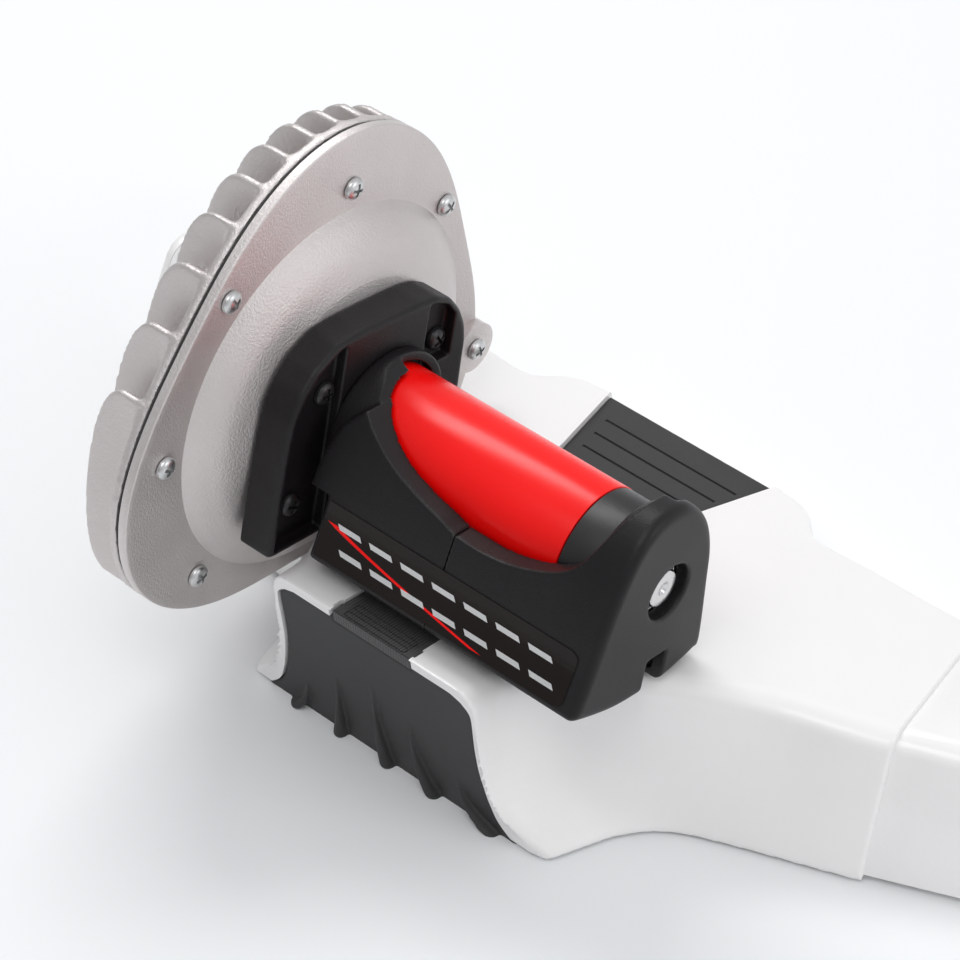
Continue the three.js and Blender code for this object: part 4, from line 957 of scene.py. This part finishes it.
# %% Rows of the side wall
def wall_stretch(side, tops, feet, bows, shoulder):
    rows = []
    for (x, y), (foot_x, foot_y), bow in zip(tops, feet, bows):
        top_y = y * math.cos(LEAN) - DECK_DEPTH * math.sin(LEAN)
        rows.append((x * side, top_y, foot_x, top_y + FRONT_DRAFT if foot_y is None else foot_y, bow))
    rows = smooth(rows, 5)
    stretch = []
    for i, (top_x, top_y, foot_x, foot_y, bow) in enumerate(rows):
        before, after = rows[max(i - 1, 0)], rows[min(i + 1, len(rows) - 1)]
        run = Vector((after[0] - before[0], after[1] - before[1])).normalized()
        stretch.append({
            "top": Vector((top_x, top_y)), "foot": Vector((foot_x, foot_y)), "bow": max(bow, 1.0),
            "out": Vector((run.y * side, -run.x * side)), "shoulder": shoulder, "end": None,
            "side": side,
        })
    return stretch


def side_wall(side):
    feet = [(x * side, y) for x, y in REAR_FOOT_LINE]
    if side < 0:
        feet[:len(LEFT_FOOT_LINE)] = LEFT_FOOT_LINE
    rear = wall_stretch(side, REAR_TOP_LINE, feet, BOWS, SHOULDER_ROUND)
    front_feet = [(x * side, None) for x, y in FRONT_TOP_LINE]
    front = wall_stretch(side, FRONT_TOP_LINE, front_feet, [1] * len(front_feet), FRONT_ROUND)
    along = Vector((-SEAM_SKEW, 1)).normalized()
    rear[0].update(end="rear", out=Vector((side, 0)))
    rear[-1].update(end="seam", out=Vector((-along.x * side, -along.y)))
    front[0].update(end="seam", out=Vector((along.x * side, along.y)))
    return rear + front


def wall_point(station, share, wall, tuck, low):
    place = station["top"].lerp(station["foot"], share ** station["bow"])
    place -= station["out"] * (tuck * station["shoulder"] + wall)
    top = deck_height(place.y) - wall
    z = top + (low - top) * share
    if station["end"] == "rear":
        place.y = rear_plane(z)
    if station["end"] == "seam":
        place.x = station["side"] * seam_plane(place.y, z)
    return place.x, place.y, z


def base_loft(name, wall, low, steps):
    """The base's outer form when wall is 0, or the form of its hollow, drawn in by the wall."""
    fall = AXLE_HEIGHT + deck_height(0)
    rows = [
        (SHOULDER_ROUND * (1 - math.cos(turn)) / fall, 1 - math.sin(turn), low + FOOT_RIM)
        for turn in quarter_turn(steps)
    ]
    rows += [(share, 0.0, low + FOOT_RIM) for share in WALL_SHARES] + [(1.0, 0.0, low)]
    right_wall, left_wall = side_wall(1), side_wall(-1)
    rings = []
    for share, tuck, rim in rows:
        ring = [wall_point(station, share, wall, tuck, rim) for station in right_wall]
        ring += reversed([wall_point(station, share, wall, tuck, rim) for station in left_wall])
        rings.append(ring)
    return moved(loft(name, rings), TIP_OVER)


print("wall stations on one side:", len(side_wall(1)))

# %% [markdown]
# The rubber foot lies on the rear end of the base, which leans a little over the floor. A
# matrix carries shapes from that plane into the unit's frame, so the foot and its recess are
# drawn flat.

# %% Rear plane and rubber outline
REAR_TILT = math.atan2(REAR_FOOT - REAR_TOP, deck_height(REAR_TOP) + AXLE_HEIGHT)
REAR_SLOPE = math.hypot(REAR_FOOT - REAR_TOP, deck_height(REAR_TOP) + AXLE_HEIGHT)
ON_REAR = Matrix.Translation((0, REAR_FOOT, -AXLE_HEIGHT)) @ Matrix.Rotation(REAR_TILT, 4, "X")
DECK_REAR = REAR_TOP * math.cos(LEAN) - deck_height(REAR_TOP) * math.sin(LEAN)
RUBBER_SIDE = [
    (59, -2.4), (50, 7.4), (46.6, 16), (45, 22.4), (43.2, 33), (42.5, 45), (42.5, 59.4),
    (41.4, 63.8), (38.4, 66.8), (34.5, 67.9),
]
RUBBER_THICK, RUBBER_RECESS, NOTCH_GAP = 6.5, 0.6, 0.6
STRIP_HALF, STRIP_FRONT, STRIP_THICK, STRIP_LIP, STRIP_LIP_THICK = 17.0, -22.0, 3.0, 6.3, 2.4
PAD_REAR, PAD_FRONT, PAD_HALF, PAD_TAPER, PAD_DROP, PAD_THICK = 42.0, 133.5, 38.2, 0.236, 2.7, 1.9


def rubber_outline(grow, notch):
    """Half of the outline from the floor to the notch under the tread strip, then mirrored."""
    side = smooth([(x + grow, z) for x, z in RUBBER_SIDE[:-1]], 5)
    top = RUBBER_SIDE[-1][1] + grow
    notch_half = STRIP_HALF + NOTCH_GAP + grow
    side += [(RUBBER_SIDE[-1][0], top), (notch_half, top), (notch_half, notch)]
    return side + [(-x, z) for x, z in reversed(side)]


print("rear plane is", round(REAR_SLOPE, 1), "mm high")

# %% Hollow, ribs and pockets of the base
RIB_PITCH, RIB_THICK, RIB_SPAN, RIB_LIFT, RIB_STAGGER = 42.0, 2.4, 150.0, 3.0, 0.4
RIB_SIDE_COUNT, RIB_FRONT_COUNT = 3, 3
FOOT_X, FOOT_Y, FOOT_RADIUS, FOOT_POST, FOOT_HIGH, FOOT_LOW = 96.0, 96.0, 12.0, 14.5, 6.0, 9.0
BOLT_PLACES = [(-26, -9), (-26, 9), (48, -9), (48, 9)]
BOSS_RADIUS, BOSS_DEPTH, BOSS_OVERRUN = 7.5, 17.5, 3.5
SCOOP_CLEARANCE, SCOOP_START, SCOOP_END = 5.0, -55.0, -117.0
SEAT_GAP, POCKET_WALL, PAD_OVERRUN, STRIP_OVERRUN = 0.3, 3.0, 8.0, 8.0
ARM_SOLID, ARM_REACH, ARM_DEPTH, REAR_SOLID = 21.5, 205.0, 40.0, 11.0


def scoop(clearance):
    """The room for the brake, with a clearance all round it."""
    ring = [point[1:] for point in lobed_ring(clearance, 0, 96)]
    return prism("scoop", ring, SCOOP_END - clearance, SCOOP_START + clearance, "X")


def pad_pocket(grow, deeper):
    corners = []
    for y in (PAD_REAR - grow, PAD_FRONT + PAD_OVERRUN):
        corners.append((PAD_HALF - PAD_TAPER * (PAD_FRONT - y) + grow, y))
    (rear_half, rear), (front_half, front) = corners
    outline = [(-rear_half, rear), (rear_half, rear), (front_half, front), (-front_half, front)]
    depth = PAD_DROP + PAD_THICK + SEAT_GAP + deeper
    return prism("pad_pocket", outline, -DECK_DEPTH - depth, -DECK_DEPTH / 2, "Z")


def strip_pocket(grow, deeper):
    reach = STRIP_HALF + grow
    depth = STRIP_THICK + SEAT_GAP + deeper
    return box(
        "strip_pocket", (-reach, DECK_REAR - STRIP_OVERRUN, -DECK_DEPTH - depth),
        (reach, STRIP_FRONT + grow, -DECK_DEPTH / 2))


def rib_boxes():
    """Crossed ribs; the second set stands a little off, so that no two faces coincide."""
    low, half = FOOT_HEIGHT + RIB_LIFT, RIB_THICK / 2
    for i in range(-RIB_SIDE_COUNT, RIB_SIDE_COUNT + 1):
        x = i * RIB_PITCH
        yield moved(box("rib", (x - half, -RIB_SPAN, low), (x + half, RIB_SPAN, 0)), TIP_OVER)
    for i in range(RIB_FRONT_COUNT):
        y = i * RIB_PITCH
        corner = (-RIB_SPAN, y - half, low + RIB_STAGGER)
        yield moved(box("rib", corner, (RIB_SPAN, y + half, RIB_STAGGER)), TIP_OVER)


def arm_backing(side):
    """Solid ends of the arms, where the frame's legs join."""
    inner = [side * (seam_plane(y, -AXLE_HEIGHT / 2) - ARM_SOLID) for y in (-RIB_SPAN, RIB_SPAN)]
    outer = side * ARM_REACH
    outline = [(inner[0], -RIB_SPAN), (outer, -RIB_SPAN), (outer, RIB_SPAN), (inner[1], RIB_SPAN)]
    return moved(prism("arm_backing", outline, -AXLE_HEIGHT - ARM_DEPTH, 0, "Z"), TIP_OVER)


def foot_post(radius, high, side):
    low = -AXLE_HEIGHT - FOOT_LOW
    return moved(post("foot_post", radius, low, high, FOOT_X * side, FOOT_Y), TIP_OVER)


def base_hollow():
    hollow = base_loft("hollow", BASE_WALL, FOOT_HEIGHT - BASE_WALL, 4)
    backing_corner = Vector((ARM_REACH, REAR_SOLID, AXLE_HEIGHT))
    rear_backing = box("rear_backing", -backing_corner, backing_corner)
    cut(hollow, scoop(SCOOP_CLEARANCE + BASE_WALL), moved(rear_backing, TIP_OVER @ ON_REAR),
        arm_backing(-1), arm_backing(1), pad_pocket(POCKET_WALL, POCKET_WALL),
        strip_pocket(POCKET_WALL, POCKET_WALL), *rib_boxes())
    cut(hollow, *(foot_post(FOOT_POST, 0, side) for side in (-1, 1)))
    for x, y in BOLT_PLACES:
        cut(hollow, post("boss", BOSS_RADIUS, -DECK_DEPTH - BOSS_DEPTH, -DECK_DEPTH + BOSS_OVERRUN, x, y))
    return hollow


print("base cutters ready")

# %% [markdown]
# The base is softened while it is still solid. Its hollow, the pockets for pad, strip and
# rubber and the seats of the front feet are cut afterwards, because the remesh would fray thin
# walls and narrow ledges.

# %% Base shell
RUBBER_GAP, RUBBER_OPEN, NOTCH_OPEN = 0.5, -8.0, 72.0
base_shell = base_loft("base_shell_moulded", 0, FOOT_HEIGHT, 8)
cut(base_shell, scoop(SCOOP_CLEARANCE))
mould(base_shell, voxel=0.8, passes=6)
rubber_pocket = prism(
    "rubber_pocket", rubber_outline(RUBBER_GAP, NOTCH_OPEN), RUBBER_OPEN, RUBBER_THICK + SEAT_GAP, "Y")
cut(base_shell, base_hollow(), pad_pocket(SEAT_GAP, 0), strip_pocket(SEAT_GAP, 0),
    moved(rubber_pocket, TIP_OVER @ ON_REAR),
    *(foot_post(FOOT_RADIUS + SEAT_GAP, FOOT_HIGH - AXLE_HEIGHT, side) for side in (-1, 1)))
seat(base_shell, LEANING, "base", "white_plastic", "base_shell", crease=50.0)

# %% [markdown]
# ## The rubber foot
# A soft rubber moulding grips the floor. Its face is plain at the top and grows five curved
# claws towards the floor. Each claw is a row of half-round rings that widens, rises and swings
# sideways on its way down, laid over the plate of rubber and moulded with it.

# %% Rubber foot with its claws
CLAW_FEET = [-43.0, -22.0, 0.0, 21.0, 47.0]
CLAW_TIPS = [-36.4, -20.7, -3.4, 12.7, 32.9]
CLAW_HEIGHTS = [15.0, 31.0, 40.0, 32.0, 17.0]
CLAW_RISE, CLAW_HALF, CLAW_TIP_RISE, CLAW_TIP_HALF = 4.4, 2.5, 0.2, 0.35
CLAW_ROOT, CLAW_BELOW, FOOT_ROUND, FOOT_ROUND_START, FOOT_ROUND_SHARE = 2.4, 1.0, 2.2, 0.6, 0.8
ROW_POWER, SWING_POWER, WIDTH_POWER, RISE_POWER, ROUND_POWER = 1.4, 2.4, 1.3, 0.9, 0.8
CLAW_SKEW_SHARE, NOTCH_TOP, FLOOR_TRIM = 0.2, 65.8, 0.02


def kept_share(value):
    return min(max(value, 0.0), 1.0)


def claw(foot_x, tip_x, height, steps=24, around=10):
    inside = RUBBER_RECESS + CLAW_ROOT
    rings = []
    for step in range(steps + 1):
        high = height * (step / steps) ** ROW_POWER - CLAW_BELOW
        wide = 1 - kept_share(high / height)
        x = tip_x + (foot_x - tip_x) * wide ** SWING_POWER
        near_floor = 1 - kept_share((high + FOOT_ROUND_START) / FOOT_ROUND)
        rounding = math.sqrt(1 - FOOT_ROUND_SHARE * near_floor ** 2)
        half = CLAW_TIP_HALF + CLAW_HALF * wide ** WIDTH_POWER
        rise = (CLAW_TIP_RISE + CLAW_RISE * wide ** RISE_POWER) * rounding
        ring = []
        for k in range(around + 1):
            turn = math.pi * k / around
            out = math.sin(turn) ** ROUND_POWER
            across = x - half * math.cos(turn) + CLAW_SKEW_SHARE * half * out
            ring.append((across, RUBBER_RECESS - rise * out, high))
        rings.append(ring + [(x + half, inside, high), (x - half, inside, high)])
    return loft("claw", rings)


rubber_foot = prism(
    "rubber_foot_moulded", rubber_outline(0, NOTCH_TOP), RUBBER_RECESS, RUBBER_THICK, "Y")
lay_over(rubber_foot, [claw(*sizes) for sizes in zip(CLAW_FEET, CLAW_TIPS, CLAW_HEIGHTS)])
mould(rubber_foot, voxel=0.55, passes=2)
under_floor = box("under_floor", (-FAR, -FAR, -AXLE_HEIGHT - FAR), (FAR, FAR, -AXLE_HEIGHT + FLOOR_TRIM))
cut(rubber_foot, moved(under_floor, ON_REAR.inverted()))
seat(rubber_foot, LEANING @ TIP_OVER @ ON_REAR, "base", "dark_rubber", "rear_rubber_foot", crease=50.0)

# %% [markdown]
# ## The tread strip
# A ribbed rubber strip lies in the deck's rear edge, proud of the deck, and folds down over it.
# Two long ovals are pressed into it, and a line sets off its rear edge as a bead. It is drawn
# with its top at height 0, cut, and then lowered onto the deck.

# %% Tread strip
STRIP_REAR, STRIP_DROP, STRIP_TUCK = DECK_REAR + 0.3, 1.1, 3.0
OVAL_PLACES, OVAL_HALF, OVAL_ROUND, OVAL_LINE, OVAL_DEPTH = (3.6, 8.6), 13.6, 1.6, 0.5, 0.6
BEAD_START, BEAD_END, BEAD_HALF, BEAD_DEPTH = 1.2, 1.5, 20.0, 0.4
LIP_DROP, ABOVE = 1.0, 1.0


def racetrack(name, half_length, half_width, y, low, high, steps=12):
    ring = []
    for side in (1, -1):
        for step in range(steps + 1):
            turn = math.pi * step / steps - math.pi / 2
            ring.append((
                side * (half_length - half_width + half_width * math.cos(turn)),
                y + side * half_width * math.sin(turn)))
    return prism(name, ring, low, high, "Z")


tread_strip = box(
    "tread_strip_moulded", (-STRIP_HALF, STRIP_REAR - STRIP_TUCK, STRIP_DROP - STRIP_THICK),
    (STRIP_HALF, STRIP_FRONT, 0))
join(tread_strip, box(
    "lip", (-STRIP_HALF, STRIP_REAR - STRIP_TUCK, STRIP_DROP - STRIP_LIP),
    (STRIP_HALF, STRIP_REAR + STRIP_LIP_THICK, -LIP_DROP)))
for oval_place in OVAL_PLACES:
    oval_y = STRIP_REAR + oval_place
    groove = racetrack("oval", OVAL_HALF, OVAL_ROUND, oval_y, -OVAL_DEPTH, ABOVE)
    half_length, half_width = OVAL_HALF - OVAL_LINE, OVAL_ROUND - OVAL_LINE
    cut(groove, racetrack("oval_inside", half_length, half_width, oval_y, -ABOVE, 2 * ABOVE))
    cut(tread_strip, groove)
cut(tread_strip, box(
    "bead_line", (-BEAD_HALF, STRIP_REAR + BEAD_START, -BEAD_DEPTH),
    (BEAD_HALF, STRIP_REAR + BEAD_END, ABOVE)))
moved(tread_strip, Matrix.Translation((0, 0, -DECK_DEPTH - STRIP_DROP)))
behind = box("behind", (-FAR, -FAR, -FAR), (FAR, RUBBER_RECESS, 2 * FAR))
cut(tread_strip, moved(behind, TIP_OVER @ ON_REAR))
seat(tread_strip, LEANING, "base", "dark_rubber", "tread_strip", look=ribbed_rubber)

# %% [markdown]
# ## The label film
# A glossy dark film is stuck to the rear panel of the cover. The real one carries lettering,
# which is left off: two rows of plain silver dashes and a red pinstripe stand in its place.
# Film and print are thin closed skins that follow the panel's own curve, one over the other.

# %% Places on the cover's rear panel
PANEL_TOP, PANEL_FOOT = Vector((-35.5, -11.5)), Vector((-40.6, -31.0))
PANEL_OFFSET, PANEL_EDGE, PANEL_LOW, PANEL_HIGH = 0.06, -33.0, -34.0, -8.0
PANEL_CURVE = [
    Vector(point) for point in cover_section(-PANEL_OFFSET)
    if point[0] < PANEL_EDGE and PANEL_LOW < point[1] < PANEL_HIGH
]
PANEL_CURVE.sort(key=lambda point: -point.y)


def on_panel(height, lift):
    """A place on the panel at a height from 0 at the label's foot to 1 at its top."""
    z = PANEL_FOOT.y + (PANEL_TOP.y - PANEL_FOOT.y) * height
    for upper, lower in zip(PANEL_CURVE, PANEL_CURVE[1:]):
        if lower.y <= z <= upper.y:
            t = (z - lower.y) / (upper.y - lower.y)
            out = Vector((lower.y - upper.y, upper.x - lower.x)).normalized()
            return lower.lerp(upper, t) + out * lift
    return Vector((PANEL_TOP.x, z))


def film(name, edges, lift, thickness):
    """A thin closed skin on the panel; edges are (height, start, end) rows from foot to top."""
    rings = []
    for height, start, end in edges:
        outer, inner = on_panel(height, lift + thickness), on_panel(height, lift)
        rings.append([
            (start, outer.x, outer.y), (end, outer.x, outer.y),
            (end, inner.x, inner.y), (start, inner.x, inner.y)])
    return loft(name, rings)


print("panel curve has", len(PANEL_CURVE), "points")

# %% Film, pinstripe and dashes
LABEL_START, LABEL_END, LABEL_ROUND, LABEL_STEPS = -33.0, 73.3, 3.0, 24
FILM_LIFT, FILM_THICK, STRIPE_LIFT, DASH_LIFT, PRINT_THICK = 0.12, 0.12, 0.25, 0.32, 0.06
STRIPE_INSET, STRIPE_RUN, STRIPE_HALF, STRIPE_STEPS = 4.0, 66.0, 2.6, 20
STRIPE_TOP, STRIPE_FALL, STRIPE_POWER = 0.66, 0.6, 0.8
DASH_START, DASH_PITCH, DASH_LENGTH, DASH_LEAN = -26.0, 13.6, 9.6, 1.4
DASH_FEET, DASH_HIGH, DASHES, DASH_STEPS = (0.62, 0.22), 0.09, 7, 3

label_rows = []
label_high = (PANEL_TOP - PANEL_FOOT).length
for row in range(LABEL_STEPS + 1):
    row_height = row / LABEL_STEPS
    reach = min(row_height, 1 - row_height) * label_high
    tuck = 0.0
    if reach < LABEL_ROUND:
        tuck = LABEL_ROUND - math.sqrt(LABEL_ROUND ** 2 - (LABEL_ROUND - reach) ** 2)
    label_rows.append((row_height, LABEL_START, LABEL_END - tuck))
label_piece = film("label_film", label_rows, FILM_LIFT, FILM_THICK)
seat(label_piece, LEANING, "base", "black_plastic", look=label_film)
stripe_rows = []
for row in range(STRIPE_STEPS + 1):
    t = row / STRIPE_STEPS
    middle_x = LABEL_START + STRIPE_INSET + STRIPE_RUN * t
    height = STRIPE_TOP - STRIPE_FALL * t ** STRIPE_POWER
    stripe_rows.append((height, middle_x - STRIPE_HALF, middle_x + STRIPE_HALF))
pinstripe = film("label_pinstripe", stripe_rows[::-1], STRIPE_LIFT, PRINT_THICK)
seat(pinstripe, LEANING, "base", "red_sleeve")
for line, dash_foot in enumerate(DASH_FEET):
    for dash_number in range(DASHES):
        dash_start = DASH_START + dash_number * DASH_PITCH + line * DASH_PITCH / 4
        dash_rows = []
        for row in range(DASH_STEPS + 1):
            start = dash_start - DASH_LEAN * row / DASH_STEPS
            dash_rows.append((dash_foot + DASH_HIGH * row / DASH_STEPS, start, start + DASH_LENGTH))
        dash_name = "label_dash_" + str(line + 1) + "_" + str(dash_number + 1)
        dash = film(dash_name, dash_rows, DASH_LIFT, PRINT_THICK)
        seat(dash, LEANING, "base", "zinc_steel", look=silver_print)

# %% [markdown]
# ## The screws
# Cross-head screws with domed heads hold the brake together, and larger black ones hold the
# plate. Each is turned from one profile, two crossed bars cut its drive, and each has stopped
# at an angle of its own, as screws do.

# %% Screws
HEAD_BREAK, HEAD_WALL_SHARE, SCREW_LIFT, BAR_OVERRUN = 0.15, 0.28, 0.3, 2.0
BRAKE_SCREW = {"head": 4.1, "high": 2.7, "shank": 2.0, "cross": (2.4, 1.1, 1.6)}
PLATE_SCREW = {"head": 4.3, "high": 2.9, "shank": 2.1, "cross": (2.7, 1.2, 1.7)}
FLANGE_SCREW_LENGTH, LUG_SCREW_LENGTH, PLATE_SCREW_LENGTH = 13.0, 16.0, 13.4
FLANGE_TURN_STEP, LUG_TURN, PLATE_TURN, PLATE_TURN_STEP = 0.7, 0.4, 0.5, 1.1


def cross_screw(node, sizes, length, face, place, turn, slot):
    """A screw whose head sits on a face at x; cross holds its reach, width and depth."""
    head, high, shank = sizes["head"], sizes["high"], sizes["shank"]
    reach, wide, floor = sizes["cross"]
    profile = [
        (0, -length), (shank, -length), (shank, 0), (head - HEAD_BREAK, 0), (head, HEAD_BREAK),
        (head, high * HEAD_WALL_SHARE)]
    for angle in quarter_turn(8)[1:]:
        rise = HEAD_WALL_SHARE + (1 - HEAD_WALL_SHARE) * math.sin(angle)
        profile.append((head * math.cos(angle), high * rise))
    screw = lathe(node.replace("screw", "screw_turned"), profile, 40)
    outline = [(-reach, -wide / 2), (reach, -wide / 2), (reach, wide / 2), (-reach, wide / 2)]
    bars = []
    for lay in (0, math.pi / 2):
        bar = prism("bar", outline, high - floor, high + BAR_OVERRUN, "X")
        bars.append(moved(bar, Matrix.Rotation(lay + turn, 4, "X")))
    cut(screw, join(*bars))
    moved(screw, Matrix.Translation((face + SCREW_LIFT, *place)))
    seat(screw, LEANING, "base", slot, node, crease=28.0)


for number, spot in enumerate(screw_places, 1):
    cross_screw(
        "flange_screw_" + str(number), BRAKE_SCREW, FLANGE_SCREW_LENGTH, FLANGE_FRONT, spot,
        FLANGE_TURN_STEP * number, "zinc_steel")
cross_screw("lug_screw", BRAKE_SCREW, LUG_SCREW_LENGTH, LUG_FRONT, LUG_PLACE, LUG_TURN, "zinc_steel")
for number, spot in enumerate(PLATE_SCREWS, 1):
    cross_screw(
        "plate_screw_" + str(number), PLATE_SCREW, PLATE_SCREW_LENGTH, POCKET_FLOOR, spot,
        PLATE_TURN + PLATE_TURN_STEP * number, "black_steel")

# %% [markdown]
# ## Light, floor and backdrop
# The object stands on a pale seamless floor. One large soft box above and to the left draws the
# long highlight on the roller, two weaker ones light the rear and the right side, and the pale
# sky, brighter on one side, fills the shadows and gives the glossy faces something to mirror.

# %% Floor
FLOOR_REACH, FLOOR_COLOUR, FLOOR_ROUGHNESS = 4.0, (0.86, 0.87, 0.88, 1.0), 0.6
floor_corners = [(x * FLOOR_REACH, y * FLOOR_REACH, 0) for x, y in ((-1, -1), (1, -1), (1, 1), (-1, 1))]
floor_mesh = bpy.data.meshes.new("studio_floor")
floor_mesh.from_pydata(floor_corners, [], [(0, 1, 2, 3)])
floor = bpy.data.objects.new("studio_floor", floor_mesh)
bpy.context.scene.collection.objects.link(floor)
floor_finish = bpy.data.materials.new("studio_floor")
floor_finish.use_nodes = True
floor_surface = floor_finish.node_tree.nodes["Principled BSDF"]
floor_surface.inputs["Base Color"].default_value = FLOOR_COLOUR
floor_surface.inputs["Roughness"].default_value = FLOOR_ROUGHNESS
floor_mesh.materials.append(floor_finish)
print("floor laid")

# %% Lamps and sky
BRIGHT_SIDE, SKY_COLOUR = (0.45, 0.35, 0.82), (0.97, 0.98, 1.0, 1.0)


def soft_box(name, place, aim, size, power):
    """A rectangular lamp; places and sizes are in metres, power in watts."""
    lamp = bpy.data.lights.new(name, "AREA")
    lamp.shape = "RECTANGLE"
    lamp.size, lamp.size_y = size
    lamp.energy = power
    holder = bpy.data.objects.new(name, lamp)
    holder.location = place
    holder.rotation_euler = (Vector(aim) - Vector(place)).to_track_quat("-Z", "Y").to_euler()
    bpy.context.scene.collection.objects.link(holder)


soft_box("top_box", (-0.69, 0.52, 1.32), (0, 0, 0.1), (0.9, 0.34), 8.2)
soft_box("rear_box", (0.15, -0.6, 1.4), (0, 0, 0.05), (0.8, 0.5), 4.2)
soft_box("side_box", (1.5, 0.4, 0.7), (0, 0, 0.05), (0.7, 0.7), 3.5)
sky = bpy.data.worlds.new("studio_sky")
bpy.context.scene.world = sky
sky.use_nodes = True
sky_tree = sky.node_tree
backdrop = sky_tree.nodes["Background"]
backdrop.inputs["Color"].default_value = SKY_COLOUR
looking = add(sky_tree, "ShaderNodeTexCoord")
bright_side = add(sky_tree, "ShaderNodeVectorMath", operation="DOT_PRODUCT")
bright_side.inputs[1].default_value = BRIGHT_SIDE
link(sky_tree, looking.outputs["Generated"], bright_side.inputs[0])
falloff = add(sky_tree, "ShaderNodeMapRange", From_Min=-0.4, From_Max=0.9, To_Min=0.30, To_Max=0.80)
link(sky_tree, bright_side.outputs["Value"], falloff.inputs["Value"])
link(sky_tree, falloff.outputs["Result"], backdrop.inputs["Strength"])
print("lamps set")
